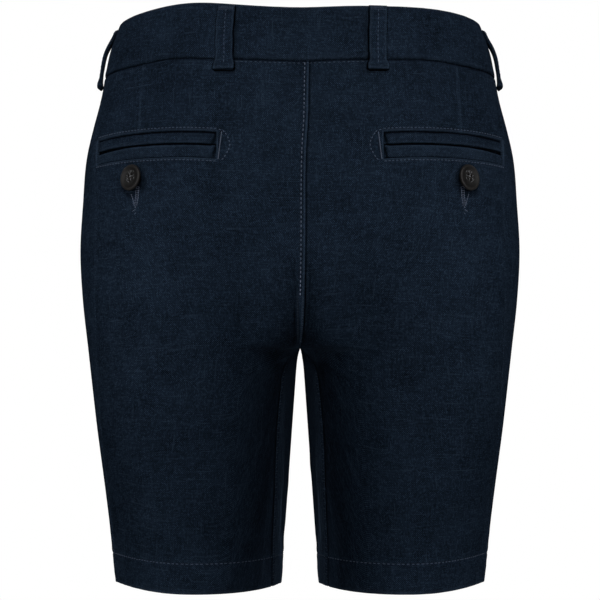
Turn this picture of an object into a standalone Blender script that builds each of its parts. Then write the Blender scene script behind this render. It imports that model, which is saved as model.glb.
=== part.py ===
"""Bermuda shorts for a child of about six, filled out as if worn, in linen.

Each cut piece is a solid of its own: four panels, the waistband, six belt loops, the welts of
two back pockets, the fly shield and three buttons. +Z is up and +Y is the wearer's front, so
+X is the wearer's right. The origin is the centre of the waist opening, halfway up the band.
"""

import math
from collections import namedtuple

import bpy
import bmesh
import numpy as np
from mathutils import Matrix, Vector

MM = 0.001

# Driving dimensions in millimetres. The tables and the form are worked in millimetres too, and
# the points are scaled to metres where a mesh is made.
BAND_HEIGHT = 31.6
BAND_THICKNESS = 2.6
BAND_PROUD = 0.4
BAND_EDGE = 1.0
BAND_TOP_ROUNDING = 0.45
BAND_FOOT_ROUNDING = 0.25
WAIST_TILT = 0.105
TILT_ENDS = -110.0
BACK_DIP = 1.8
BACK_DIP_REACH = 28.0
BACK_DIP_ENDS = -50.0

CROTCH = -175.0
SEAT_CURVE_STARTS = -81.0
SEAT_CURVE_POWER = 3.0
SEAT_CURVE_EASING = 1.1
SEAT_CURVE_EASED_OUT = 0.6
SEAT_CURVE_REACH = (0.12, 0.8)
LEGS_PART = -72.0
GAP_START = 1.3
GAP_START_DEPTH = 4.0
GAP_SLOPE = 0.0705
HEM = -314.8
HEM_DROP = 1.2
HEM_DROP_STARTS = -260.0
HEM_DROP_DEPTH = 55.0
HEM_DEPTH = 17.5
HEM_STEP = 0.6
# The hem is pressed flat: the leg's oval ends in a fold at the side and a rounder one inside.
HEM_PRESSED_FROM = -215.0
HEM_PRESSED_TO = -300.0
HEM_SIDE_POWER = 0.98
HEM_INSIDE_POWER = 0.66
HEM_FOLD_REACH = 0.6
CLOTH = 1.5
SEAM_GAP = 0.3
# The depths at which the panels' tips end under the crotch, where four of them meet.
BACK_TIP = -0.15
FRONT_TIP = 1.0

WELT_THICKNESS = 1.1
WELT_SUNK = 0.35
WELT_COLUMNS = 14
POCKET_TOP = -55.8
POCKET_SLIT = -62.4
POCKET_FOOT = -69.7
POCKET_BOW = 1.5
POCKET_INNER = 47.5
POCKET_TO_SIDE_SEAM = 0.007
HALF_ROUND = 330.0
WINDOW_REACH = 5.0

LOOP_WIDTH = 10.4
LOOP_THICKNESS = 1.9
LOOP_FLAT_SHARE = 0.86
LOOP_EDGE_ROUNDING = 0.22

BUTTON_HEIGHT = 2.6
BUTTON_HOLE = 0.85
BUTTON_HOLE_SPACING = 1.55
BUTTON_SEAT = 0.45
BUTTON_SIDES = 20
BUTTON_MERGE = 0.01

# How far the band's ends lap at the centre front, and the turn over which the under end tucks
# in, as angles round the body.
LAP_OVER = 0.16
LAP_UNDER = 0.34
LAP_TUCK = 0.45
LAP_TUCK_ENDS = 0.05

SHIELD_HALF_WIDTH = 15.0
SHIELD_TOP_GAP = 1.0
SHIELD_FOOT = -98.0
SHIELD_FOOT_ROUNDING = 0.93
SHIELD_THICKNESS = 1.2
SHIELD_GAP = 0.5
SHIELD_ROWS = 8

COLUMNS = 13
INNER_CROWDING = 1.12
SEAM_ROWS_REACH = 0.6
LEG_ROWS = 9
LEG_ROW_CROWDING = 1.5
SEAT_ROWS = 10
YOKE_ROWS = 4
BAND_COLUMNS = 72
SHIELD_COLUMNS = 4
SHARE_SAMPLES = 400

NAVY = (0.0070, 0.0118, 0.0205, 1.0)
HORN = (0.016, 0.0155, 0.016, 1.0)
CLOTH_ROUGHNESS = 0.85
BUTTON_ROUGHNESS = 0.5

# The body's rings, from the top of the band to the hem: half the width, and how far the body's
# ring and the leg's ring reach back and forward.
Section = namedtuple("Section", "height half_width back front leg_back leg_front")
SECTIONS = [
    Section(16.0, 106.3, 62.0, 60.0, 62.0, 60.0),
    Section(0.0, 112.2, 64.2, 62.0, 64.2, 62.0),
    Section(-16.0, 115.7, 66.5, 63.5, 66.5, 63.5),
    Section(-31.0, 118.9, 70.0, 65.5, 69.0, 65.0),
    Section(-46.0, 122.9, 73.5, 67.0, 71.5, 66.0),
    Section(-61.0, 126.4, 76.5, 68.0, 73.5, 66.5),
    Section(-91.0, 129.1, 80.5, 69.5, 75.8, 67.0),
    Section(-117.0, 130.5, 82.0, 70.0, 76.0, 66.5),
    Section(-147.0, 129.0, 80.5, 69.5, 74.2, 65.5),
    Section(-175.0, 125.9, 77.0, 68.0, 71.5, 64.0),
    Section(-231.0, 119.6, 70.0, 64.0, 65.2, 60.0),
    Section(-291.0, 112.2, 60.0, 58.0, 58.6, 55.5),
    Section(-316.0, 109.5, 57.0, 56.0, 56.0, 53.5),
]
SQUARENESS = 2.17

# Where the side seam runs, as a share of the way from centre back (0) to centre front (1).
SideSeam = namedtuple("SideSeam", "height share")
SIDE_SEAM = [
    SideSeam(16.0, 0.490),
    SideSeam(-16.0, 0.468),
    SideSeam(-46.0, 0.440),
    SideSeam(-70.0, 0.421),
    SideSeam(-91.0, 0.404),
    SideSeam(-117.0, 0.393),
    SideSeam(-147.0, 0.394),
    SideSeam(-175.0, 0.404),
    SideSeam(-240.0, 0.430),
    SideSeam(-316.0, 0.460),
]

# How far the inseam lies behind the innermost line of the leg, as a share of the leg's ring.
Inseam = namedtuple("Inseam", "below_crotch share")
INSEAM = [
    Inseam(0.0, 0.0),
    Inseam(3.0, 0.052),
    Inseam(8.0, 0.082),
    Inseam(14.0, 0.094),
    Inseam(24.0, 0.098),
    Inseam(95.0, 0.097),
    Inseam(115.0, 0.095),
    Inseam(141.0, 0.086),
]

# A belt loop from its top end to the fold at its foot: how far it stands off the cloth, its
# thickness and its width, as shares of the plain strip for the last two.
LoopStation = namedtuple("LoopStation", "down lift thickness width")
LOOP_STATIONS = [
    LoopStation(0.0, 0.35, 0.85, 0.98),
    LoopStation(0.07, 0.45, 1.05, 1.0),
    LoopStation(0.2, 1.1, 1.0, 1.0),
    LoopStation(0.4, 1.6, 1.0, 0.99),
    LoopStation(0.6, 1.65, 1.0, 0.99),
    LoopStation(0.8, 1.5, 1.0, 1.01),
    LoopStation(0.9, 1.1, 1.15, 1.06),
    LoopStation(0.96, 0.75, 1.4, 1.17),
    LoopStation(1.0, 0.7, 1.1, 1.19),
]

# Where each loop lies on the band: the distance from the centre line along X at its top and
# foot, the side of the body that it is on, and the heights of its ends.
Loop = namedtuple("Loop", "name side top_x foot_x front top foot")
LOOPS = [
    Loop("belt_loop_back_left", -1, 41.7, 43.3, False, 15.6, -22.2),
    Loop("belt_loop_back_right", 1, 44.0, 43.9, False, 15.6, -22.2),
    Loop("belt_loop_side_left", -1, None, None, False, 15.6, -21.5),
    Loop("belt_loop_side_right", 1, None, None, False, 15.6, -21.5),
    Loop("belt_loop_front_left", -1, 52.0, 54.5, True, 15.6, -21.8),
    Loop("belt_loop_front_right", 1, 52.0, 54.5, True, 15.6, -21.8),
]

# The pocket buttons: distance from the centre line, height, and lean of the disc's top.
PocketButton = namedtuple("PocketButton", "name side x height lean")
POCKET_BUTTONS = [
    PocketButton("pocket_button_left", -1, 97.2, -78.2, 0.06),
    PocketButton("pocket_button_right", 1, 97.2, -78.2, 0.06),
]

# A button's turned outline, from the middle of its dished face over the rim to its flat back.
ButtonPoint = namedtuple("ButtonPoint", "radius height")
BUTTON_OUTLINE = [
    ButtonPoint(0.0, 1.9),
    ButtonPoint(5.4, 1.9),
    ButtonPoint(5.9, 2.35),
    ButtonPoint(6.45, 2.6),
    ButtonPoint(7.1, 2.45),
    ButtonPoint(7.6, 1.6),
    ButtonPoint(7.35, 0.8),
    ButtonPoint(6.0, 0.0),
    ButtonPoint(0.0, 0.0),
]


def smooth_curve(table, column, at):
    """A smooth curve through one column of a table, read at the values of its first column."""
    rows = sorted(table)
    knots = np.array([row[0] for row in rows], float)
    values = np.array([getattr(row, column) for row in rows], float)
    slopes = np.gradient(values, knots)
    at = np.clip(np.asarray(at, float), knots[0], knots[-1])
    i = np.clip(np.searchsorted(knots, at) - 1, 0, len(knots) - 2)
    step = knots[i + 1] - knots[i]
    t = (at - knots[i]) / step
    rise = (3 - 2 * t) * t * t
    start = t * (1 - t) * (1 - t) * step * slopes[i]
    end = t * t * (t - 1) * step * slopes[i + 1]
    return values[i] * (1 - rise) + values[i + 1] * rise + start + end


def smoothstep(low, high, value):
    t = np.clip((np.asarray(value, float) - low) / (high - low), 0.0, 1.0)
    return t * t * (3 - 2 * t)


def oval_reach(angle, half_width, depth):
    """How far a squared oval reaches to the side at this angle. Angle 0 looks back (-Y)."""
    across, along = np.sin(angle), np.cos(angle)
    reach = np.abs(across / half_width) ** SQUARENESS + np.abs(along / depth) ** SQUARENESS
    return reach ** (-1.0 / SQUARENESS) * across


def oval_depth(x, half_width, depth, power=1.0 / SQUARENESS):
    """How deep a squared oval is at this distance from its middle. A power near 1 folds it."""
    inside = 1.0 - np.abs(x / half_width) ** SQUARENESS
    return depth * np.maximum(inside, 0.0) ** power


def leg_power(out, height):
    """The power of a leg's oval, from its round top to its pressed hem."""
    side = smoothstep(-HEM_FOLD_REACH, HEM_FOLD_REACH, out)
    hem = HEM_INSIDE_POWER + (HEM_SIDE_POWER - HEM_INSIDE_POWER) * side
    pressed = smoothstep(HEM_PRESSED_FROM, HEM_PRESSED_TO, height)
    return 1.0 / SQUARENESS + (hem - 1.0 / SQUARENESS) * pressed


def leg_share(out, height):
    """0 where the body is one ring, 1 from the crotch down. At the centre seams (out is 0) the
    cloth curves under on an arc; towards the middle of the leg (out is 1) it turns gently."""
    drop = np.clip((SEAT_CURVE_STARTS - height) / (SEAT_CURVE_STARTS - CROTCH), 0.0, 1.0)
    power = SEAT_CURVE_POWER - SEAT_CURVE_EASING * smoothstep(0.0, SEAT_CURVE_EASED_OUT, out)
    curved = 1.0 - (1.0 - drop**power) ** (1.0 / power)
    gentle = smoothstep(LEGS_PART, CROTCH, height)
    outer = smoothstep(*SEAT_CURVE_REACH, out)
    return curved * (1.0 - outer) + gentle * outer


def leg_gap(height):
    """Half the gap between the legs: it opens quickly under the crotch, then evenly."""
    below = np.maximum(CROTCH - height, 0.0)
    return GAP_START * (1.0 - np.exp(-below / GAP_START_DEPTH)) + GAP_SLOPE * below


def form(share, height):
    """A point of the right half's outer form. Share 0 is centre back, or the leg's innermost
    line below the crotch; 0.5 is the side; 1 is centre front, or the innermost line again."""
    share, height = np.broadcast_arrays(np.asarray(share, float), np.asarray(height, float))
    half_width, back, front, leg_back, leg_front = (
        smooth_curve(SECTIONS, column, height) for column in Section._fields[1:]
    )
    whole = height >= CROTCH
    around = np.where(whole, 1.0 - np.abs(1.0 - np.abs(share)), share % 1.0)
    side = np.where(whole & ((share < 0.0) | (share > 1.0)), -1.0, 1.0)
    is_back = around < 0.5
    depth, leg_depth = np.where(is_back, back, front), np.where(is_back, leg_back, leg_front)
    gap = leg_gap(height)
    leg_half_width = (half_width - gap) / 2
    leg_middle = leg_half_width + gap
    body_x = oval_reach(math.pi * around, half_width, depth)
    leg_turn = 2 * math.pi * around - math.pi / 2
    leg_x = oval_reach(leg_turn, leg_half_width, leg_depth) + leg_middle
    gentle = smoothstep(LEGS_PART, CROTCH, height)
    x = body_x * (1 - gentle) + leg_x * gentle
    body_y = oval_depth(x, half_width, depth)
    from_middle = x - leg_middle
    power = leg_power(from_middle / leg_half_width, height)
    leg_y = oval_depth(from_middle, leg_half_width, leg_depth, power)
    leg = leg_share(x / leg_half_width, height)
    y = (body_y * (1 - leg) + leg_y * leg) * np.where(is_back, -1.0, 1.0)
    tilt = WAIST_TILT * (1 - smoothstep(-BAND_HEIGHT / 2, TILT_ENDS, height))
    dip = BACK_DIP * np.exp(-((x / BACK_DIP_REACH) ** 2))
    dip *= smoothstep(BACK_DIP_ENDS, -BAND_HEIGHT / 2, height)
    hem = HEM_DROP * smoothstep(HEM_DROP_STARTS, HEM, height) * np.abs(y) / HEM_DROP_DEPTH
    z = height - tilt * y - dip * is_back - hem
    return np.stack([x * side, y, z], axis=-1)


def outward(share, height):
    """Unit normals of the form, pointing out of the body."""
    aside, above = 0.0008, 0.15
    along = form(share + aside, height) - form(share - aside, height)
    up = form(share, height + above) - form(share, height - above)
    normal = np.cross(along, up)
    return normal / np.linalg.norm(normal, axis=-1, keepdims=True)


def lifted(share, height, lift):
    """Points of the form, moved out along its normals by lift (in when it is negative)."""
    lift = np.asarray(lift, float)
    return form(share, height) + outward(share, height) * lift[..., None]


def share_at_x(x, height, front=False):
    """The share at which the ring of this height is x away from the centre line."""
    start = 0.5 if front else 0.0
    shares = np.linspace(start, start + 0.5, SHARE_SAMPLES)
    distances = form(shares, height)[:, 0]
    order = np.argsort(distances)
    return float(np.interp(x, distances[order], shares[order]))


def row_heights():
    """Heights of the panels' rows at the inner edge and at the side seam, waist to hem, and the
    wall's thickness on each row. The seat seam's rows are even along its curve."""
    yoke = np.linspace(-BAND_HEIGHT / 2, SEAT_CURVE_STARTS, YOKE_ROWS, endpoint=False)
    turn = np.linspace(0.0, math.pi / 2, SEAT_ROWS + 1)
    drop = np.sin(turn) ** (2.0 / SEAT_CURVE_POWER)
    seat = SEAT_CURVE_STARTS + (CROTCH - SEAT_CURVE_STARTS) * drop
    hem_top = HEM + HEM_DEPTH
    down = (np.arange(1, LEG_ROWS + 1) / LEG_ROWS) ** LEG_ROW_CROWDING
    leg = CROTCH + (hem_top - CROTCH) * down
    hem = [hem_top - HEM_STEP, (hem_top + HEM) / 2, HEM]
    inner = np.concatenate([yoke, seat, leg, hem])
    even = np.linspace(SEAT_CURVE_STARTS, hem_top, SEAT_ROWS + 1 + LEG_ROWS)
    side = np.concatenate([yoke, even, hem])
    thickness = np.where(np.arange(len(inner)) < len(inner) - len(hem), CLOTH, 2 * CLOTH)
    return inner, side, thickness


def panel_grid(is_front):
    """Shares and heights of a right-hand panel's points, from its inner edge to its side."""
    inner_height, side_height, thickness = row_heights()
    inseam = smooth_curve(INSEAM, "share", CROTCH - inner_height)
    side_share = smooth_curve(SIDE_SEAM, "share", side_height)
    across = np.linspace(0.0, 1.0, COLUMNS + 1) ** INNER_CROWDING
    inner_share = 1 + inseam if is_front else inseam
    shares = inner_share[:, None] + (side_share - inner_share)[:, None] * across
    spread = smoothstep(0.0, SEAM_ROWS_REACH, across)
    heights = inner_height[:, None] + (side_height - inner_height)[:, None] * spread
    return shares, heights, np.broadcast_to(thickness[:, None], shares.shape)


def pull_in(points, normals, gap):
    """Moves a panel's two side edges and its top edge in by gap, along the cloth and square to
    the edge."""
    moved = points.copy()
    for edge, neighbour in ((np.s_[:, 0], np.s_[:, 1]), (np.s_[:, -1], np.s_[:, -2]),
                            (np.s_[0], np.s_[1])):
        along = np.gradient(points[edge], axis=0)
        square = np.cross(normals[edge], along)
        square /= np.linalg.norm(square, axis=-1, keepdims=True)
        inward = np.sum(square * (points[neighbour] - points[edge]), axis=-1, keepdims=True)
        moved[edge] += square * np.sign(inward) * gap
    return moved


def panel_walls(is_front):
    """Outer and inner points of a right-hand panel."""
    shares, heights, thickness = panel_grid(is_front)
    outer = form(shares, heights)
    normals = outward(shares, heights)
    on_centre_seam = heights[:, 0] > CROTCH - SEAM_GAP
    middle = normals[on_centre_seam, 0] * np.array([0.0, 1.0, 1.0])
    normals[on_centre_seam, 0] = middle / np.linalg.norm(middle, axis=-1, keepdims=True)
    inner = outer - normals * thickness[..., None]
    walls = [pull_in(points, normals, SEAM_GAP / 2) for points in (outer, inner)]
    for points in walls:
        points[..., 0] = np.maximum(points[..., 0], SEAM_GAP / 2)
        depths = points[on_centre_seam, 0, 1]
        eased = np.maximum(depths, FRONT_TIP) if is_front else np.minimum(depths, BACK_TIP)
        points[on_centre_seam, 0, 1] = eased
    return walls


def mirrored(points, side):
    return points * np.array([side, 1.0, 1.0])


def make_wall(name, outer, inner, collection):
    """A closed wall between two grids of points, with its faces turned outward."""
    mesh = bpy.data.meshes.new(name)
    build = bmesh.new()
    rows, columns = outer.shape[:2]
    sheets = [
        [[build.verts.new(Vector(point * MM)) for point in row] for row in grid]
        for grid in (outer, inner)
    ]
    front, back = sheets
    for i in range(rows - 1):
        for j in range(columns - 1):
            build.faces.new((front[i][j], front[i + 1][j], front[i + 1][j + 1], front[i][j + 1]))
            build.faces.new((back[i][j], back[i][j + 1], back[i + 1][j + 1], back[i + 1][j]))
    border = [(i, 0) for i in range(rows)] + [(rows - 1, j) for j in range(1, columns)]
    border += [(i, columns - 1) for i in range(rows - 2, -1, -1)]
    border += [(0, j) for j in range(columns - 2, 0, -1)]
    for (a, b), (c, d) in zip(border, border[1:] + border[:1]):
        build.faces.new((front[a][b], back[a][b], back[c][d], front[c][d]))
    bmesh.ops.recalc_face_normals(build, faces=build.faces)
    bmesh.ops.triangulate(build, faces=build.faces)
    build.to_mesh(mesh)
    build.free()
    mesh.shade_smooth()
    mesh.set_sharp_from_angle(angle=math.radians(40))
    piece = bpy.data.objects.new(name, mesh)
    collection.objects.link(piece)
    return piece


def finish(piece, colour, roughness):
    """Gives a piece a material of its own."""
    material = bpy.data.materials.new(piece.name + "_finish")
    material.use_nodes = True
    shader = material.node_tree.nodes["Principled BSDF"]
    shader.inputs["Base Color"].default_value = colour
    shader.inputs["Roughness"].default_value = roughness
    shader.inputs["Metallic"].default_value = 0.0
    piece.data.materials.append(material)
    return piece


def cut(piece, cutter):
    """Takes a cutter out of a piece, and keeps the cutter out of the model."""
    cutter.hide_render = True
    cutter.display_type = "WIRE"
    modifier = piece.modifiers.new("cut_" + cutter.name, "BOOLEAN")
    modifier.operation = "DIFFERENCE"
    modifier.object = cutter


def pocket_patch(top, foot, outer_lift, inner_lift, inset):
    """Outer and inner points of a strip in the back pocket's place, between two heights. It
    runs from the pocket's inner end nearly to the side seam, less an inset all round, and bows
    up a little in its middle."""
    along = np.linspace(0.0, 1.0, WELT_COLUMNS + 1)
    edges = (top - inset, foot + inset)
    shares = []
    for height in edges:
        start = share_at_x(POCKET_INNER + inset, height)
        end = smooth_curve(SIDE_SEAM, "share", height) - POCKET_TO_SIDE_SEAM
        shares.append(start + (end - inset / HALF_ROUND - start) * along)
    shares = np.array(shares)
    heights = np.array(edges)[:, None] + POCKET_BOW * (1.0 - (2.0 * along - 1.0) ** 2)
    outer = lifted(shares, heights, np.full(shares.shape, outer_lift))
    inner = lifted(shares, heights, np.full(shares.shape, inner_lift))
    return outer, inner


def make_panels(shorts, cutters):
    for side, side_name in ((-1, "left"), (1, "right")):
        for is_front, face in ((False, "back"), (True, "front")):
            outer, inner = (mirrored(points, side) for points in panel_walls(is_front))
            panel = make_wall(f"{face}_panel_{side_name}", outer, inner, shorts)
            finish(panel, NAVY, CLOTH_ROUGHNESS)
            if not is_front:
                patch = pocket_patch(POCKET_TOP, POCKET_FOOT, WINDOW_REACH, -WINDOW_REACH, 0.0)
                window = [mirrored(points, side) for points in patch]
                cut(panel, make_wall(f"pocket_window_{side_name}", *window, cutters))


def make_welts(shorts):
    """Two folded strips fill each pocket's window, with the slit between them."""
    strips = (("upper", POCKET_TOP, POCKET_SLIT), ("lower", POCKET_SLIT, POCKET_FOOT))
    for side, side_name in ((-1, "left"), (1, "right")):
        for place, top, foot in strips:
            lifts = (-WELT_SUNK, -WELT_SUNK - WELT_THICKNESS)
            outer, inner = pocket_patch(top, foot, *lifts, SEAM_GAP)
            points = [mirrored(grid, side) for grid in (outer, inner)]
            welt = make_wall(f"pocket_welt_{place}_{side_name}", *points, shorts)
            finish(welt, NAVY, CLOTH_ROUGHNESS)


def band_points(turn, height, lift):
    """Points round the whole waist: turn 0 is centre back, pi is centre front by the right."""
    side = np.where(np.sin(turn) < 0, -1.0, 1.0)
    folded = np.abs((np.asarray(turn) + math.pi) % (2 * math.pi) - math.pi)
    points = lifted(folded / math.pi, height, lift)
    points[..., 0] = np.abs(points[..., 0]) * side
    return points


def make_waistband(shorts):
    """One strip round the waist. Its left end laps over the right one at the centre front."""
    turn = np.linspace(-math.pi - LAP_OVER, math.pi + LAP_UNDER, BAND_COLUMNS + 1)
    lap_starts = math.pi - LAP_OVER
    tucked = smoothstep(lap_starts - LAP_TUCK, lap_starts - LAP_TUCK_ENDS, turn)
    depth = tucked * (BAND_THICKNESS + SEAM_GAP)
    top = BAND_HEIGHT / 2
    foot = SEAM_GAP / 2 - BAND_HEIGHT / 2
    heights = np.array([top, top - BAND_EDGE, foot + BAND_EDGE, foot])
    rounding = np.array([[BAND_TOP_ROUNDING], [0.0], [0.0], [BAND_FOOT_ROUNDING]])
    turns = np.broadcast_to(turn, (len(heights), len(turn)))
    levels = np.broadcast_to(heights[:, None], turns.shape)
    outer_lift = BAND_PROUD - depth - rounding
    inner_lift = BAND_PROUD - BAND_THICKNESS - depth + rounding
    outer = band_points(turns, levels, outer_lift)
    inner = band_points(turns, levels, inner_lift)
    finish(make_wall("waistband", outer, inner, shorts), NAVY, CLOTH_ROUGHNESS)


def loop_shares(loop, heights):
    """The centre line of a loop, as shares round the body."""
    if loop.top_x is None:
        return np.full(len(heights), SIDE_SEAM[0].share)
    down = (loop.top - heights) / (loop.top - loop.foot)
    distances = loop.top_x + (loop.foot_x - loop.top_x) * down
    return np.array([share_at_x(x, z, loop.front) for x, z in zip(distances, heights)])


def make_belt_loop(loop, shorts):
    """A folded strip over the band. It stands off the cloth between its two sewn ends."""
    down = np.array([station.down for station in LOOP_STATIONS])
    heights = loop.top + (loop.foot - loop.top) * down
    shares = loop_shares(loop, heights)
    step = 0.01
    reach = form(shares + step, heights) - form(shares - step, heights)
    share_per_mm = 2 * step / np.linalg.norm(reach, axis=-1)
    width = LOOP_WIDTH * np.array([station.width for station in LOOP_STATIONS])
    across = np.array([-1.0, -LOOP_FLAT_SHARE, 0.0, LOOP_FLAT_SHARE, 1.0])
    grid = shares[:, None] + (width / 2 * share_per_mm)[:, None] * across
    levels = np.broadcast_to(heights[:, None], grid.shape)
    lift = np.array([[station.lift] for station in LOOP_STATIONS]) + BAND_PROUD
    thick = LOOP_THICKNESS * np.array([[station.thickness] for station in LOOP_STATIONS])
    rounding = thick * LOOP_EDGE_ROUNDING * (np.abs(across) == 1.0)
    outer = lifted(grid, levels, lift + thick - rounding)
    inner = lifted(grid, levels, lift + rounding)
    outer, inner = (mirrored(points, loop.side) for points in (outer, inner))
    finish(make_wall(loop.name, outer, inner, shorts), NAVY, CLOTH_ROUGHNESS)


def make_fly_shield(shorts):
    """The strip behind the front opening, with a rounded foot."""
    heights = np.linspace(-BAND_HEIGHT / 2 - SHIELD_TOP_GAP, SHIELD_FOOT, SHIELD_ROWS + 1)
    down = smoothstep(SHIELD_FOOT + SHIELD_HALF_WIDTH, SHIELD_FOOT, heights)
    half_width = SHIELD_HALF_WIDTH * np.sqrt(1 - (SHIELD_FOOT_ROUNDING * down) ** 2)
    across = np.linspace(-1.0, 1.0, SHIELD_COLUMNS + 1)
    grid = half_width[:, None] * across
    shares = np.array([
        [share_at_x(abs(x), height, front=True) for x in row]
        for row, height in zip(grid, heights)
    ])
    levels = np.broadcast_to(heights[:, None], shares.shape)
    depth = CLOTH + SHIELD_GAP
    walls = []
    for lift in (-depth, -depth - SHIELD_THICKNESS):
        points = lifted(shares, levels, np.full(shares.shape, lift))
        points[..., 0] = grid
        walls.append(points)
    finish(make_wall("fly_shield", *walls, shorts), NAVY, CLOTH_ROUGHNESS)


def button_mesh():
    """The outline that is turned into a button; its back is at the mesh's origin."""
    mesh = bpy.data.meshes.new("button")
    points = [(point.radius * MM, 0.0, point.height * MM) for point in BUTTON_OUTLINE]
    mesh.from_pydata(points, [(i, i + 1) for i in range(len(points) - 1)], [])
    return mesh


def hole_cutter(name, collection):
    """Four pins, for the holes that the button is sewn through."""
    build = bmesh.new()
    radius = BUTTON_HOLE * MM
    for dx, dy in ((-1, -1), (-1, 1), (1, -1), (1, 1)):
        middle = Vector((dx * BUTTON_HOLE_SPACING, dy * BUTTON_HOLE_SPACING, BUTTON_HEIGHT / 2))
        place = Matrix.Translation(middle * MM)
        bmesh.ops.create_cone(
            build, cap_ends=True, segments=8, radius1=radius, radius2=radius,
            depth=2 * BUTTON_HEIGHT * MM, matrix=place,
        )
    mesh = bpy.data.meshes.new(name)
    build.to_mesh(mesh)
    build.free()
    cutter = bpy.data.objects.new(name, mesh)
    collection.objects.link(cutter)
    return cutter


def make_button(name, point, normal, lean, mesh, shorts, cutters):
    """A button whose back faces the cloth at this point."""
    button = bpy.data.objects.new(name, mesh.copy())
    shorts.objects.link(button)
    turn = Vector(normal).to_track_quat("Z", "Y").to_matrix().to_4x4()
    placed = Matrix.Translation(Vector(point) * MM) @ turn @ Matrix.Rotation(lean, 4, "Y")
    button.matrix_world = placed
    screw = button.modifiers.new("turned", "SCREW")
    screw.steps = BUTTON_SIDES
    screw.render_steps = BUTTON_SIDES
    screw.use_merge_vertices = True
    screw.merge_threshold = BUTTON_MERGE * MM
    cutter = hole_cutter(name + "_holes", cutters)
    cutter.matrix_world = placed
    cut(button, cutter)
    finish(button, HORN, BUTTON_ROUGHNESS)


def make_buttons(shorts, cutters):
    mesh = button_mesh()
    for spec in POCKET_BUTTONS:
        share = share_at_x(spec.x, spec.height)
        normal = outward(np.array(share), np.array(spec.height))
        point = form(share, spec.height) + normal * BUTTON_SEAT
        point, normal = (mirrored(value, spec.side) for value in (point, normal))
        lean = spec.lean * spec.side
        make_button(spec.name, point, normal, lean, mesh, shorts, cutters)
    turn = np.array(math.pi)
    level = np.array(0.0)
    face = band_points(turn, level, np.array(BAND_PROUD + BUTTON_SEAT))
    normal = face - band_points(turn, level, np.array(0.0))
    normal /= np.linalg.norm(normal)
    make_button("waist_button", face, normal, 0.0, mesh, shorts, cutters)


def main():
    for thing in list(bpy.data.objects):
        bpy.data.objects.remove(thing, do_unlink=True)
    shorts = bpy.data.collections.new("bermuda_shorts")
    cutters = bpy.data.collections.new("cutters")
    for collection in (shorts, cutters):
        bpy.context.scene.collection.children.link(collection)
    make_panels(shorts, cutters)
    make_welts(shorts)
    make_waistband(shorts)
    for loop in LOOPS:
        make_belt_loop(loop, shorts)
    make_fly_shield(shorts)
    make_buttons(shorts, cutters)


main()
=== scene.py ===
# %% [markdown] # Linen bermuda shorts, dressed piece by piece The solids of the shorts are
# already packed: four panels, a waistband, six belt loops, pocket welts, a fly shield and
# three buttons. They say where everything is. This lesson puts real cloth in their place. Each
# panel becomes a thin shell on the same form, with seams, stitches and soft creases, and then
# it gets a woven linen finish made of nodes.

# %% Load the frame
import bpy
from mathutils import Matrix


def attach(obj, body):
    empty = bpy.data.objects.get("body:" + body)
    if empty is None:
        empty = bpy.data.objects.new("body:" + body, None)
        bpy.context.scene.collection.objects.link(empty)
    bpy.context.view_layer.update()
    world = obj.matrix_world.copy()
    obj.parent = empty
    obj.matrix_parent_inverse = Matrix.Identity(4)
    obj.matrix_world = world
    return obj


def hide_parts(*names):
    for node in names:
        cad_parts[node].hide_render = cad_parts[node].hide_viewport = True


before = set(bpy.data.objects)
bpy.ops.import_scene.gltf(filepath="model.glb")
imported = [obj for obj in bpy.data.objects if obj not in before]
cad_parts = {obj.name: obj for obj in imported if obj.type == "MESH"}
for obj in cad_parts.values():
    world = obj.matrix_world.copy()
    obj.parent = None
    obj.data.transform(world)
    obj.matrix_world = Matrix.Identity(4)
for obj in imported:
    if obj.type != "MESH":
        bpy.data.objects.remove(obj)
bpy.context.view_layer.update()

import math
from collections import namedtuple

import bpy
import numpy as np
from mathutils import Matrix, Vector
from mathutils.bvhtree import BVHTree

MM = 0.001

# %% [markdown]
# ## The camera
#
# The shorts are looked at from behind, level with the middle of the garment. A long lens keeps
# both legs upright, as a shop picture of clothes does. The camera could also be fitted to the
# garment's box, but a fixed place keeps the framing the same while the cloth changes.

# %% Set up the camera
CAMERA_PLACE = (0.0, -1.490, -0.14685)
LENS = 150.0
SENSOR_WIDTH = 36.0


def placed(name, data):
    """A new object in the scene, with this data."""
    thing = bpy.data.objects.new(name, data)
    bpy.context.scene.collection.objects.link(thing)
    return thing


camera = placed("camera", bpy.data.cameras.new("camera"))
camera.data.lens = LENS
camera.data.sensor_width = SENSOR_WIDTH
camera.location = CAMERA_PLACE
camera.rotation_euler = (math.radians(90.0), 0.0, 0.0)
bpy.context.scene.camera = camera
bpy.context.scene.view_settings.view_transform = "Standard"
print("camera at", CAMERA_PLACE, "with a lens of", LENS)

# %% [markdown]
# ## Soft boxes and a flag
#
# Four pairs of round soft boxes stand on the seat's side, low, in the middle, high and to the
# sides, and one pair lights the other side for views from there. Azimuths are measured from the
# camera's side. A black flag stands on the centre plane between the boxes, as a studio would
# place one, so that each half of the shorts is lit from its own side and the inner legs fall
# into shade. The camera doesn't see the flag.

# %% Soft boxes
SoftBox = namedtuple("SoftBox", "name azimuth distance height size watts")
SOFT_BOXES = [
    SoftBox("low", 12.0, 1.3, -0.50, 0.5, 2.9),
    SoftBox("middle", 12.0, 1.3, 0.15, 0.5, 3.0),
    SoftBox("high", 12.0, 1.0, 0.80, 0.4, 7.4),
    SoftBox("side", 55.0, 1.3, 0.15, 0.5, 4.3),
    SoftBox("far", 150.0, 1.3, 0.60, 0.6, 9.0),
]
LIGHT_AIM = Vector((0.0, 0.0, -0.12))

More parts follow.
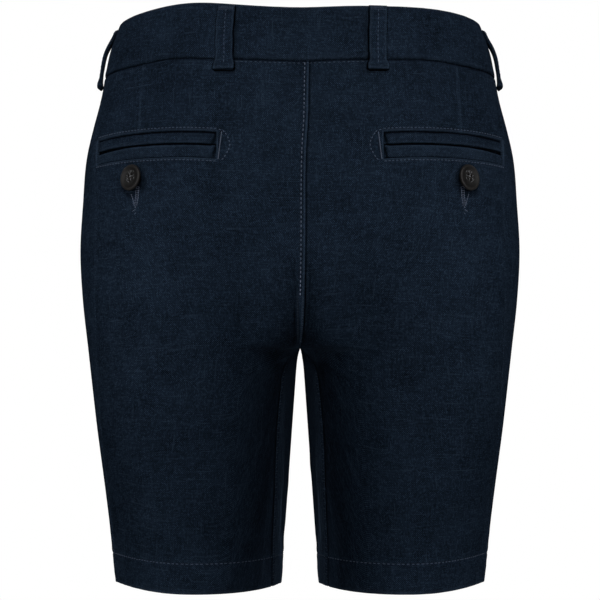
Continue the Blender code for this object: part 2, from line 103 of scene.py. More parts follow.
for spec in SOFT_BOXES:
    for side in (-1, 1):
        angle = math.radians(spec.azimuth) * side
        east, south = spec.distance * math.sin(angle), -spec.distance * math.cos(angle)
        light = placed(spec.name, bpy.data.lights.new(spec.name, "AREA"))
        light.data.shape = "DISK"
        light.data.size = spec.size
        light.data.energy = spec.watts
        light.location = (east, south, spec.height)
        light.rotation_euler = (LIGHT_AIM - light.location).to_track_quat("-Z", "Y").to_euler()
print("soft boxes:", [spec.name for spec in SOFT_BOXES])

# %% [markdown]
# ## Shader maths that reads like maths
#
# Node trees are slow to read when each sum is three lines of linking. This small class wraps a
# socket, so that `1 - mask` or `slubs * 0.4 + broad` adds its Math nodes by itself. Colours and
# vectors use Mix and Vector Math nodes instead, because a Math node would turn a colour grey.

# %% A socket that can be used in sums
class Wire:
    """An output socket of a shader. Sums of wires and numbers add Math nodes."""

    def __init__(self, tree, socket):
        self.tree = tree
        self.socket = socket

    @classmethod
    def add(cls, tree, kind, settings=None, values=None, output=0):
        """Adds a node: its settings first, then the values or wires of its sockets."""
        node = tree.nodes.new(kind)
        for name, value in (settings or {}).items():
            setattr(node, name, value)
        for name, value in (values or {}).items():
            if isinstance(value, Wire):
                tree.links.new(value.socket, node.inputs[name])
            else:
                node.inputs[name].default_value = value
        return cls(tree, node.outputs[output]) if node.outputs else node

    def maths(self, operation, first, second=0.0, clamp=False):
        settings = {"operation": operation, "use_clamp": clamp}
        return Wire.add(self.tree, "ShaderNodeMath", settings, {0: first, 1: second})

    def __add__(self, other):
        return self.maths("ADD", self, other)

    def __sub__(self, other):
        return self.maths("SUBTRACT", self, other)

    def __rsub__(self, other):
        return self.maths("SUBTRACT", other, self)

    def __mul__(self, other):
        return self.maths("MULTIPLY", self, other)

    def sine(self):
        return self.maths("SINE", self)

    def clamped(self):
        return self.maths("ADD", self, clamp=True)

    __radd__ = __add__
    __rmul__ = __mul__


def mixed(share, first, second):
    """A colour between two colours."""
    settings, sockets = {"data_type": "RGBA"}, {0: share, 6: first, 7: second}
    return Wire.add(share.tree, "ShaderNodeMix", settings, sockets, output=2)


def new_material(name):
    """An empty material, and its tree."""
    material = bpy.data.materials.new(name)
    material.use_nodes = True
    material.node_tree.nodes.clear()
    return material, material.node_tree


def close_material(tree, values):
    """Adds the surface shader with these values or wires, and the output."""
    surface = Wire.add(tree, "ShaderNodeBsdfPrincipled", None, values)
    Wire.add(tree, "ShaderNodeOutputMaterial", None, {"Surface": surface})


def noise(tree, scale, detail, **more):
    """A noise texture. Without a Vector it follows the object's own box."""
    return Wire.add(tree, "ShaderNodeTexNoise", None, {"Scale": scale, "Detail": detail, **more})


def bump(height, strength, distance):
    """Normals bent by a height, for a surface's Normal."""
    values = {"Strength": strength, "Distance": distance, "Height": height}
    return Wire.add(height.tree, "ShaderNodeBump", None, values)


def times(colour, share):
    """A colour made darker or lighter, with its alpha."""
    return tuple(channel * share for channel in colour) + (1.0,)


print("operators:", [name for name in vars(Wire) if name.startswith("__r")])

# %% [markdown]
# ## The backdrop and the floor
#
# The world is a white backdrop to the eye, and gives less light than it seems to, so that the
# folds keep their depth. Which of the two strengths counts depends on whether a ray comes
# straight from the camera. The pale floor lies well below the hem.

# %% Dress the studio
AMBIENT = 0.05
FLOOR_HEIGHT = -1.1
FLOOR_RADIUS = 1.6
WHITE = (1.0, 1.0, 1.0, 1.0)


def studio_sheet(name, corners, material):
    """A flat face that is part of the studio, not of the garment."""
    mesh = bpy.data.meshes.new(name)
    mesh.from_pydata(corners, [], [list(range(len(corners)))])
    mesh.materials.append(material)
    sheet = placed(name, mesh)
    return sheet


world = bpy.data.worlds.new("backdrop")
bpy.context.scene.world = world
world.use_nodes = True
tree = world.node_tree
tree.nodes.clear()
seen, unseen = (
    Wire.add(tree, "ShaderNodeBackground", None, {"Color": WHITE, "Strength": strength})
    for strength in (1.0, AMBIENT)
)
straight = Wire.add(tree, "ShaderNodeLightPath")
both = Wire.add(tree, "ShaderNodeMixShader", None, {0: straight, 1: unseen, 2: seen})
Wire.add(tree, "ShaderNodeOutputWorld", None, {"Surface": both})

floor_paint, tree = new_material("pale_floor")
place = Wire.add(tree, "ShaderNodeTexCoord", output=3)
mottle = noise(tree, 3.0, 4.0, Vector=place)
pale = mixed(mottle, (0.80, 0.80, 0.79, 1.0), (0.84, 0.84, 0.83, 1.0))
close_material(tree, {"Base Color": pale, "Roughness": 0.8})

turns = np.linspace(0.0, 2 * math.pi, 97)[:-1]
rim = [(FLOOR_RADIUS * math.cos(t), FLOOR_RADIUS * math.sin(t), FLOOR_HEIGHT) for t in turns]
studio_sheet("floor", rim, floor_paint)
print("floor at", FLOOR_HEIGHT, "m")

# %% [markdown]
# ## The linen
#
# Linen is a plain weave of uneven yarns. Each yarn has taken the dye in its own way and swells
# into slubs here and there, so the cloth looks peppered, with a few pale threads running down
# and across it. The material works as the cloth does: it numbers the yarns, gives every yarn
# its own noise, and shows the one that lies on top at each crossing. Meshes carry their own
# cloth coordinates in millimetres, in an attribute named `cloth`, so the yarns follow the grain
# of each piece. Its third number is wear together with painted light and shade. Above 0 the
# cloth is paler, where an edge or a seam has rubbed lighter and where light is painted on.
# Below 0 it is darker, with painted shade in ditches and hollows.

# %% Linen material
NAVY = (0.0079, 0.0133, 0.0227)
FADED_AND_PAINTED_LIGHT = (0.0235, 0.0375, 0.0600)
YARN_PITCH = 0.58
SLUB_SHARE = 0.30
RUB_AND_PAINTED_LIGHT_SHARE = 0.75
WANDER = 4.0
DYE_LENGTH = 0.15
SLUB_LENGTH = 0.045
DYE_STEP = 5.37
SLUB_STEP = 3.71


def noise_at(tree, x, y, z, detail=2.0):
    place = Wire.add(tree, "ShaderNodeCombineXYZ", None, {0: x, 1: y, 2: z})
    return noise(tree, 1.0, detail, Vector=place, Roughness=0.55)


def make_linen(name, shade, pepper):
    """Woven linen. The shade multiplies its colour, and below 1 it is painted shade.
    pepper is the unevenness of its yarns.
    """
    material, tree = new_material(name)
    cloth = Wire.add(tree, "ShaderNodeAttribute", {"attribute_name": "cloth"}, output=1)
    u, v, wear_and_painted_shading = (
        Wire.add(tree, "ShaderNodeSeparateXYZ", None, {0: cloth}, output=i) for i in range(3)
    )
    wander = noise_at(tree, u * 0.022, v * 0.022, 71.3, 0.0) * WANDER
    across, along = u + wander, v - wander
    warp, weft = (axis.maths("FLOOR", axis * (1.0 / YARN_PITCH)) for axis in (across, along))
    warp_on_top = u.maths("FLOORED_MODULO", warp + weft, 2.0)
    number = Wire.add(tree, "ShaderNodeCombineXYZ", None, {0: warp, 1: weft})
    crossing = Wire.add(
        tree, "ShaderNodeTexWhiteNoise", {"noise_dimensions": "2D"}, {"Vector": number}
    )
    warp_dye = noise_at(tree, warp * DYE_STEP, v * DYE_LENGTH, 3.1)
    weft_dye = noise_at(tree, weft * DYE_STEP, u * DYE_LENGTH, 11.7)
    warp_slub = noise_at(tree, warp * SLUB_STEP, v * SLUB_LENGTH, 31.9)
    weft_slub = noise_at(tree, weft * SLUB_STEP, u * SLUB_LENGTH, 47.3)
    patches = noise_at(tree, u * 0.16, v * 0.16, 5.3, 3.0)
    broad = noise_at(tree, u * 0.042, v * 0.042, 23.9)
    dye = warp_dye + weft_dye
    specks = crossing.maths("POWER", crossing, 3.5)
    uneven_dye = dye.maths("MAXIMUM", dye - 1.0, -0.11)
    tone = warp_on_top * (1.20 + (specks - 0.22) * (1.0 * pepper)) + uneven_dye * (0.9 * pepper)
    tone = tone + (patches - 0.5) * 0.40 + (broad - 0.5) * 0.75 + 0.40
    # Below 0 the third number of cloth darkens the colour: painted shade.
    tone = tone * (1.0 - (wear_and_painted_shading * -0.85).clamped())
    slubs = ((warp_slub - 0.63) * 10.0).clamped() + ((weft_slub - 0.62) * 10.0).clamped()
    # Above 0 it makes the colour paler: rubbed wear and painted light.
    made_paler = (wear_and_painted_shading * (0.15 + crossing * 0.9 + patches * 0.8)).clamped()
    values = {0: times(NAVY, shade)[:3], "Scale": tone}
    scaled = Wire.add(tree, "ShaderNodeVectorMath", {"operation": "SCALE"}, values)
    lighter = (slubs * SLUB_SHARE + made_paler * RUB_AND_PAINTED_LIGHT_SHARE).clamped()
    turn = math.pi / YARN_PITCH
    weave = (across * turn).sine() * (along * turn).sine()
    height = weave * 0.5 + (warp_slub + weft_slub) * 0.7 + crossing * 0.35
    close_material(tree, {
        "Base Color": mixed(lighter, scaled, times(FADED_AND_PAINTED_LIGHT, shade)),
        "Roughness": patches * 0.14 + 0.76,
        "Specular IOR Level": 0.0,
        "Normal": bump(height, 0.5, 0.2 * MM),
    })
    return material


linen = make_linen("navy_linen", 1.0, 1.5)
# A darker copy of the linen, painted shade for the fly shield behind the opening.
linen_in_painted_shade = make_linen("navy_linen_painted_shade", 0.86, 1.2)
print("linen nodes:", len(linen.node_tree.nodes))

# %% [markdown]
# ## Thread and button
#
# The sewing thread is a twisted blue-grey polyester, a little lighter than the cloth, with a
# twist that catches the light. Each kind of seam has its own shade of it. The buttons are dark
# moulded plastic made to look like horn: cloudy and matt, rubbed paler on the rim with a painted
# highlight there, and with painted shade in their hollows.

# %% Thread and button materials
def make_thread(name, colour):
    material, tree = new_material(name)
    place = Wire.add(tree, "ShaderNodeTexCoord", output=3)
    twist = noise(tree, 900.0, 2.0, Vector=place)
    close_material(tree, {
        "Base Color": mixed(twist, times(colour, 0.55), times(colour, 1.45)),
        "Roughness": twist * 0.2 + 0.5,
        "Specular IOR Level": 0.15,
        "Normal": bump(twist, 0.5, 0.12 * MM),
    })
    return material


def make_horn(name):
    material, tree = new_material(name)
    place = Wire.add(tree, "ShaderNodeTexCoord", output=3)
    cloud = noise(tree, 170.0, 4.0, Vector=place, Distortion=0.8)
    scratches = noise(tree, 1500.0, 2.0, Vector=place)
    edges = Wire.add(tree, "ShaderNodeNewGeometry", output=7)
    # Convex edges are made paler, as rubbed wear and a painted highlight; hollows get painted
    # shade.
    rim = ((edges - 0.5) * 6.0).clamped()
    hollow_painted_shade = ((0.5 - edges) * 9.0).clamped()
    body = mixed(cloud, (0.0026, 0.0024, 0.0024, 1.0), (0.0084, 0.0078, 0.0076, 1.0))
    body = mixed(hollow_painted_shade * 0.7, body, (0.0022, 0.0019, 0.0019, 1.0))
    close_material(tree, {
        "Base Color": mixed(rim * 0.75, body, (0.036, 0.032, 0.031, 1.0)),
        "Roughness": scratches * 0.16 + 0.44,
        "Specular IOR Level": 0.20,
        "Normal": bump(scratches, 0.25, 0.08 * MM),
    })
    return material


THREADS = {
    "seam": (0.074, 0.088, 0.128), "soft": (0.037, 0.050, 0.079), "faint": (0.024, 0.036, 0.058),
    "inseam": (0.012, 0.020, 0.034), "button": (0.150, 0.154, 0.164),
    "hole": (0.084, 0.099, 0.145),
}
threads = {name: make_thread(f"{name}_thread", colour) for name, colour in THREADS.items()}
horn = make_horn("dark_horn")
print("threads:", list(threads))

# %% [markdown]
# ## The form
#
# The body is a stack of rings, from the waist to the hem. Above the crotch a ring goes round the
# whole body, and below it round one leg. A smooth curve runs through each column of the table.
# A place on the cloth is a share of the way round and a height, in millimetres, and the same
# two numbers give the same place as on the solids. That makes it simple to lay seams, stitches
# and pockets exactly where they belong.

# %% Tables of the form
def rows_of(kind, rows):
    """A table whose rows are read by the names of their columns."""
    return [kind(*row) for row in rows]


Section = namedtuple("Section", "height half_width back front leg_back leg_front")
SECTIONS = rows_of(Section, [
    (16.0, 106.3, 62.0, 60.0, 62.0, 60.0), (0.0, 112.2, 64.2, 62.0, 64.2, 62.0),
    (-16.0, 115.7, 66.5, 63.5, 66.5, 63.5), (-31.0, 118.9, 70.0, 65.5, 69.0, 65.0),
    (-46.0, 122.9, 73.5, 67.0, 71.5, 66.0), (-61.0, 126.4, 76.5, 68.0, 73.5, 66.5),
    (-91.0, 129.1, 80.5, 69.5, 75.8, 67.0), (-117.0, 130.5, 82.0, 70.0, 76.0, 66.5),
    (-147.0, 129.0, 80.5, 69.5, 74.2, 65.5), (-175.0, 125.9, 77.0, 68.0, 71.5, 64.0),
    (-231.0, 119.6, 70.0, 64.0, 65.2, 60.0), (-291.0, 112.2, 60.0, 58.0, 58.6, 55.5),
    (-316.0, 109.5, 57.0, 56.0, 56.0, 53.5),
])
SQUARENESS = 2.17

Seam = namedtuple("Seam", "height share")
SIDE_SEAM = rows_of(Seam, [
    (16.0, 0.490), (-16.0, 0.468), (-46.0, 0.440), (-70.0, 0.421), (-91.0, 0.404), (-117.0, 0.393),
    (-147.0, 0.394), (-175.0, 0.404), (-240.0, 0.430), (-316.0, 0.460),
])
Inseam = namedtuple("Inseam", "below_crotch share")
INSEAM = rows_of(Inseam, [
    (0.0, 0.0), (3.0, 0.052), (8.0, 0.082), (14.0, 0.094), (24.0, 0.098), (95.0, 0.097),
    (115.0, 0.095), (141.0, 0.086),
])

BAND_TOP = 15.8
BAND_FOOT = -15.8
CROTCH = -175.0
SEAT_CURVE_STARTS = -81.0
LEGS_PART = -72.0
HEM = -314.8
HEM_DEPTH = 17.5
HALF_GIRTH = 330.0

WAIST_TILT = 0.105
BACK_DIP = 1.8
BACK_DIP_WIDTH = 28.0
HEM_SWEEP = 1.2
CROTCH_GAP = 1.3
LEG_SPREAD = 0.0705
HEM_POWER = 0.66
HEM_FOLD_POWER = 0.32
print("rings:", len(SECTIONS))

# %% [markdown]
# The seat needs care. At the centre seam the cloth curves under on an arc, while towards the
# middle of each leg it turns gently into the thigh, so the two legs share one soft seat.

# %% The form as a function
def smooth_curve(table, column, at):
    """A smooth curve through one column of a table, read at the values of its first column."""
    rows = sorted(table)
    knots = np.array([row[0] for row in rows], float)
    values = np.array([getattr(row, column) for row in rows], float)
    slopes = np.gradient(values, knots)
    at = np.clip(np.asarray(at, float), knots[0], knots[-1])
    i = np.clip(np.searchsorted(knots, at) - 1, 0, len(knots) - 2)
    step = knots[i + 1] - knots[i]
    t = (at - knots[i]) / step
    rise = (3 - 2 * t) * t * t
    start = t * (1 - t) * (1 - t) * step * slopes[i]
    end = t * t * (t - 1) * step * slopes[i + 1]
    return values[i] * (1 - rise) + values[i + 1] * rise + start + end


def smoothstep(low, high, value):
    t = np.clip((np.asarray(value, float) - low) / (high - low), 0.0, 1.0)
    return t * t * (3 - 2 * t)


def bell(distance, width):
    """1 at no distance, falling softly to nothing."""
    return np.exp(-((np.asarray(distance, float) / width) ** 2))


def oval_reach(angle, half_width, depth):
    across, along = np.sin(angle), np.cos(angle)
    reach = np.abs(across / half_width) ** SQUARENESS + np.abs(along / depth) ** SQUARENESS
    return reach ** (-1.0 / SQUARENESS) * across


def oval_depth(x, half_width, depth, power=1.0 / SQUARENESS):
    inside = 1.0 - np.abs(x / half_width) ** SQUARENESS
    return depth * np.maximum(inside, 0.0) ** power


def leg_power(out, height):
    """The power of a leg's oval. The hem is pressed flat, with a fold at the side."""
    hem = HEM_POWER + HEM_FOLD_POWER * smoothstep(-0.6, 0.6, out)
    pressed = smoothstep(-215.0, -300.0, height)
    return 1.0 / SQUARENESS + (hem - 1.0 / SQUARENESS) * pressed


def leg_share(out, height):
    """0 where the body is one ring, 1 from the crotch down."""
    drop = np.clip((SEAT_CURVE_STARTS - height) / (SEAT_CURVE_STARTS - CROTCH), 0.0, 1.0)
    power = 3.0 - 1.1 * smoothstep(0.0, 0.6, out)
    curved = 1.0 - (1.0 - drop**power) ** (1.0 / power)
    gentle = smoothstep(LEGS_PART, CROTCH, height)
    outer = smoothstep(0.12, 0.8, out)
    return curved * (1.0 - outer) + gentle * outer


def form(share, height):
    """A point of the right half's outer form, in millimetres. Share 0 is centre back, or the
    leg's innermost line below the crotch; 0.5 is the side; 1 is centre front."""
    share, height = np.broadcast_arrays(np.asarray(share, float), np.asarray(height, float))
    half_width, back, front, leg_back, leg_front = (
        smooth_curve(SECTIONS, column, height) for column in Section._fields[1:]
    )
    whole = height >= CROTCH
    around = np.where(whole, 1.0 - np.abs(1.0 - np.abs(share)), share % 1.0)
    side = np.where(whole & ((share < 0.0) | (share > 1.0)), -1.0, 1.0)
    is_back = around < 0.5
    depth, leg_depth = np.where(is_back, back, front), np.where(is_back, leg_back, leg_front)
    below = np.maximum(CROTCH - height, 0.0)
    gap = CROTCH_GAP * (1.0 - np.exp(-below / 4.0)) + LEG_SPREAD * below
    leg_half_width = (half_width - gap) / 2
    leg_middle = leg_half_width + gap
    body_x = oval_reach(math.pi * around, half_width, depth)
    leg_turn = 2 * math.pi * around - math.pi / 2
    leg_x = oval_reach(leg_turn, leg_half_width, leg_depth) + leg_middle
    gentle = smoothstep(LEGS_PART, CROTCH, height)
    x = body_x * (1 - gentle) + leg_x * gentle
    body_y = oval_depth(x, half_width, depth)
    from_middle = x - leg_middle
    power = leg_power(from_middle / leg_half_width, height)
    leg_y = oval_depth(from_middle, leg_half_width, leg_depth, power)
    leg = leg_share(x / leg_half_width, height)
    y = (body_y * (1 - leg) + leg_y * leg) * np.where(is_back, -1.0, 1.0)
    tilt = WAIST_TILT * (1 - smoothstep(BAND_FOOT, -110.0, height))
    dip = BACK_DIP * bell(x, BACK_DIP_WIDTH) * smoothstep(-50.0, BAND_FOOT, height)
    hem = HEM_SWEEP * smoothstep(-260.0, HEM, height) * np.abs(y) / 55.0
    z = height - tilt * y - dip * is_back - hem
    return np.stack([x * side, y, z], axis=-1)


def unit(vectors):
    return vectors / np.maximum(np.linalg.norm(vectors, axis=-1, keepdims=True), 1e-12)


def outward(share, height, aside=0.0008, rise=0.15):
    """Unit normals of the form, pointing out of the body."""
    along = form(share + aside, height) - form(share - aside, height)
    up = form(share, height + rise) - form(share, height - rise)
    return unit(np.cross(along, up))


def share_at_x(x, height, front=False):
    """The share at which the ring of this height is x away from the centre line."""
    shares = np.linspace(0.5, 1.0, 400) if front else np.linspace(0.0, 0.5, 400)
    distances = form(shares, height)[:, 0]
    order = np.argsort(distances)
    return float(np.interp(x, distances[order], shares[order]))


def shares_at(xs, heights, front=False):
    """share_at_x for many places. Distances and heights can be single numbers or arrays."""
    xs, heights = np.broadcast_arrays(xs, heights)
    found = [share_at_x(x, height, front) for x, height in zip(xs.flat, heights.flat)]
    return np.reshape(found, xs.shape)


print("centre back at the band:", np.round(form(0.0, BAND_FOOT), 1).tolist())

# %% Stand the flag between the soft boxes
FLAG_FAR = -1.45
FLAG_NEAR = -0.048
FLAG_TOP = 1.3
FLAG_FOOT = -0.6
FLAG_GAP = 6.0

felt, tree = new_material("black_felt")
nap = noise(tree, 400.0, 3.0)
black = mixed(nap, (0.001, 0.001, 0.001, 1.0), (0.003, 0.003, 0.003, 1.0))
close_material(tree, {"Base Color": black, "Roughness": 0.95, "Specular IOR Level": 0.0})
heights = np.linspace(BAND_TOP + 4.0, CROTCH, 80)
gap = FLAG_GAP * smoothstep(-105.0, -165.0, heights)
line = form(np.zeros(80), heights) + outward(np.zeros(80), heights) * gap[:, None]
corners = [(y * MM, z * MM) for _, y, z in line if y * MM < FLAG_NEAR]
corners = [(FLAG_FAR, FLAG_TOP), (corners[0][0], FLAG_TOP), *corners]
corners += [(FLAG_NEAR, corners[-1][1]), (FLAG_NEAR, FLAG_FOOT), (FLAG_FAR, FLAG_FOOT)]
flag = studio_sheet("flag", [(0.0, y, z) for y, z in corners], felt)
flag.visible_camera = False
print("flag's edge at the crotch:", [round(value, 4) for value in corners[-3]])

# %% [markdown]
# ## From grids to cloth
#
# A sheet of cloth is two grids of points, the face and the reverse, a cloth's thickness apart,
# joined round the border. A mask leaves cells out where a pocket is cut into the panel. The
# faces are turned outward by the sign of the volume that they enclose. A Solidify modifier
# would be shorter, but it can't give a fold or a hem its own thickness.

# %% Closed shells from two grids
SHARP = math.radians(50.0)


def grid_faces(rows, columns, kept):
    """Quads of the face, the reverse and the border, as numbers of points."""
    index = np.arange(rows * columns).reshape(rows, columns)
    a, b, c, d = index[:-1, :-1], index[1:, :-1], index[1:, 1:], index[:-1, 1:]
    back = rows * columns
    quads = [np.stack([a, b, c, d], -1)[kept], np.stack([a, d, c, b], -1)[kept] + back]
    padded = np.pad(kept, 1)
    sides = (
        (padded[1:-1, :-2], a, b), (padded[2:, 1:-1], b, c),
        (padded[1:-1, 2:], c, d), (padded[:-2, 1:-1], d, a),
    )
    for neighbour, start, end in sides:
        open_edge = kept & ~neighbour
        p, q = start[open_edge], end[open_edge]
        quads.append(np.stack([q, p, p + back, q + back], -1))
    return np.concatenate(quads)


def mesh_object(name, points, faces, material, cloth=None):
    """An object from points in millimetres, with its faces turned outward."""
    points, faces = np.asarray(points, float), np.asarray(faces)
    used, faces = np.unique(faces, return_inverse=True)
    faces = faces.reshape(-1, 4)
    points = points[used]
    corners = points[faces]
    volume = sum(
        np.einsum("ij,ij->i", corners[:, 0], np.cross(corners[:, k], corners[:, k + 1])).sum()
        for k in (1, 2)
    )
    if volume < 0:
        faces = faces[:, ::-1]
    mesh = bpy.data.meshes.new(name)
    mesh.from_pydata((points * MM).tolist(), [], faces.tolist())
    if cloth is not None:
        layer = mesh.attributes.new("cloth", "FLOAT_VECTOR", "POINT")
        layer.data.foreach_set("vector", np.asarray(cloth, np.float32)[used].ravel())
    mesh.materials.append(material)
    mesh.shade_smooth()
    mesh.set_sharp_from_angle(angle=SHARP)
    return placed(name, mesh)


def lengths_along(points, axis):
    """The distance along the grid from its first row or column, in millimetres."""
    steps = np.linalg.norm(np.diff(points, axis=axis), axis=-1)
    start = np.zeros_like(np.take(steps, [0], axis=axis))
    return np.concatenate([start, np.cumsum(steps, axis=axis)], axis=axis)


def stands_for(piece, node):
    """The piece moves with the root body and replaces this solid."""
    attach(piece, "root")
    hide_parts(node)


def make_sheet(name, outer, inner, wear_and_painted_shading, kept=None, grain=(0.0, 0.0), finish=linen):
    """A sheet of cloth from its two grids. grain says where its yarns start, in millimetres."""
    rows, columns = outer.shape[:2]
    if kept is None:
        kept = np.ones((rows - 1, columns - 1), bool)
    middle = columns // 2
    u = lengths_along(outer, 1)
    u = u - u[:, middle:middle + 1] + grain[0]
    v = lengths_along(outer, 0) + grain[1]
    face = np.stack([u, v, np.broadcast_to(wear_and_painted_shading, u.shape)], -1).reshape(-1, 3)
    points = np.concatenate([outer.reshape(-1, 3), inner.reshape(-1, 3)])
    faces = grid_faces(rows, columns, kept)
    piece = mesh_object(name, points, faces, finish, np.concatenate([face, face]))
    diagonals = np.cross(outer[1:, 1:] - outer[:-1, :-1], outer[1:, :-1] - outer[:-1, 1:])
    area = float((np.linalg.norm(diagonals, axis=-1) / 2)[kept].sum()) * MM * MM
    wide, long = (float(lengths_along(outer, axis).max()) * MM for axis in (1, 0))
    print(f"{name}: {len(faces) * 2} triangles, {area:.4f} m2, {wide:.3f} x {long:.3f} m")
    return piece


print("a 3 x 3 grid has", len(grid_faces(3, 3, np.ones((2, 2), bool))), "quads as a shell")

# %% [markdown]
# ## Soft creases, placed one by one
#
# Linen creases where a body bends and where it was sat on. A cloth simulation would give folds
# of its own choosing; these lie where they were wanted instead. Each is one soft trough or
# ridge, with its own length, depth and lean, and a little bend so that it doesn't look ruled.
# `around` is the distance from the centre seam, measured round the body in millimetres.

# %% Tables of creases
Crease = namedtuple("Crease", "around height lean length width lift")
CREASES = {
    "back_left": rows_of(Crease, [
        (34, -98, 18, 26, 6.0, -0.38), (47, -36, -62, 17, 4.6, -0.28),
        (76, -93, 7, 30, 6.5, -0.36), (114, -104, 76, 40, 5.0, 0.30),
        (38, -148, 34, 26, 4.6, -0.55), (52, -163, 27, 36, 5.5, 0.46),
        (86, -188, 11, 34, 7.5, -0.42), (121, -206, 82, 46, 5.5, 0.34),
        (63, -227, -13, 30, 6.5, -0.40), (96, -249, 9, 34, 7.0, 0.42),
        (71, -274, 4, 27, 5.6, -0.34), (117, -267, 84, 26, 4.6, -0.30),
        (49, -287, -7, 20, 4.6, 0.26), (97, -34, -80, 15, 4.0, 0.22), (15, -49, 13, 11, 0.9, 0.26),
        (17, -52, 8, 12, 0.9, -0.24), (14, -84, 20, 12, 1.2, -0.20),
    ]),
    "back_right": rows_of(Crease, [
        (30, -92, 24, 22, 5.4, -0.34), (58, -40, -50, 19, 5.2, -0.30),
        (83, -99, 4, 33, 7.0, -0.38), (110, -112, 80, 34, 5.0, 0.32),
        (41, -154, 30, 30, 5.0, -0.52), (58, -170, 22, 33, 6.0, 0.44),
        (92, -196, 8, 30, 7.0, -0.40), (124, -214, 80, 40, 5.0, 0.30),
        (57, -236, -10, 33, 6.0, -0.42), (90, -258, 13, 30, 7.6, 0.40),
        (77, -281, 2, 24, 5.0, -0.30), (54, -205, 68, 38, 4.4, -0.28),
        (101, -30, -74, 14, 4.0, 0.20), (18, -58, 3, 14, 1.1, -0.30), (16, -74, 16, 11, 1.0, 0.22),
        (20, -118, 24, 13, 1.4, -0.22),
    ]),
    "front_left": rows_of(Crease, [
        (20, -150, 31, 34, 4.8, -0.62), (30, -163, 23, 40, 5.6, 0.52),
        (52, -122, 12, 36, 7.0, -0.38), (96, -60, -70, 30, 6.5, -0.32),
        (60, -200, 5, 40, 8.0, 0.44), (92, -240, -8, 40, 7.5, -0.44),
        (28, -252, 12, 30, 6.5, 0.36), (132, -180, 80, 50, 6.5, 0.34),
        (2, -286, 5, 28, 5.5, -0.30), (70, -30, -84, 14, 4.0, 0.20),
    ]),
    "front_right": rows_of(Crease, [
        (24, -144, 26, 38, 5.2, -0.58), (34, -168, 20, 36, 5.4, 0.50),
        (58, -112, 16, 30, 7.4, -0.40), (88, -68, -62, 32, 6.0, -0.30),
        (66, -212, 2, 36, 8.4, 0.42), (100, -232, -12, 36, 7.0, -0.42),
        (20, -240, 16, 34, 6.0, 0.34), (136, -170, 76, 46, 6.0, 0.32),
        (8, -292, 3, 30, 5.0, -0.28), (64, -32, -80, 13, 4.0, 0.18),
    ]),
}


def crease_lift(creases, around, height):
    """How far the creases move the cloth out, in millimetres."""
    lift = np.zeros_like(height)
    for crease in creases:
        lean = math.radians(crease.lean)
        east, north = around - crease.around, height - crease.height
        along = east * math.cos(lean) + north * math.sin(lean)
        aside = north * math.cos(lean) - east * math.sin(lean)
        aside = aside + 0.10 * crease.width * np.sin(along / 7.0 + crease.around)
        width = crease.width * (1.0 + 0.3 * along / crease.length).clip(0.6, 1.5)
        lift += crease.lift * bell(aside, width) * np.exp(-np.abs(along / crease.length) ** 3)
    return lift


def uneven(along, seed):
    """Puckers: a wave that is never quite the same length or height, between -1 and 1."""
    along = np.asarray(along, float)
    wave = np.sin(along / 1.25 + 1.7 * np.sin(along / 9.1 + seed) + seed)
    return wave * (0.62 + 0.38 * np.sin(along / 13.7 + 2.3 * seed))


print("creases:", {name: len(table) for name, table in CREASES.items()})

# %% [markdown]
# ## The panels' grids
#
# A panel's rows run from the waist to the hem and its columns from the centre seam to the side
# seam. Rows and columns lie close together where the cloth turns sharply: at the seams, at the
# hem and round the pocket's window, whose edges the grid follows exactly.

# %% Rows and columns
POCKET_TOP = -55.8
POCKET_SLIT = -62.4
POCKET_FOOT = -69.7
POCKET_BOW = 1.5
POCKET_INNER = 47.5
POCKET_TO_SIDE_SEAM = 0.007
LIP = np.array([1.3, 0.85, 0.5, 0.25, 0.1, 0.0])
EDGE_COLUMNS = np.array([0.0, 0.2, 0.5, 0.95, 1.6])
BACK_TO_POCKET = 47.0
FRONT_WIDTH = 165.0
HEM_TOP = HEM + HEM_DEPTH
ABOVE_CROTCH = -174.9
SIDE_AT_CROTCH_ROW = -194.8

Overlap = namedtuple("Overlap", "height across")
SEAT_SEAM = rows_of(Overlap, [
    (-15.8, 5.2), (-36.0, 4.8), (-50.0, 4.5), (-63.0, 3.6), (-77.0, 3.15), (-105.0, 3.05),
    (-125.0, 2.9), (-141.0, 2.6), (-155.0, 2.2), (-166.0, 1.6), (-174.9, 0.15),
])
FLY_EDGE = rows_of(Overlap, [
    (-15.8, 4.2), (-60.0, 4.2), (-98.0, 3.2), (-130.0, 2.0), (-165.0, 1.0), (-174.9, 0.15),
])


def even_heights(share, top, foot, count):
    """Heights that are evenly spaced along the form's surface at this share."""
    heights = np.linspace(top, foot, 1500)
    length = lengths_along(form(share, heights), 0)
    return np.interp(np.linspace(0.0, length[-1], count), length, heights)


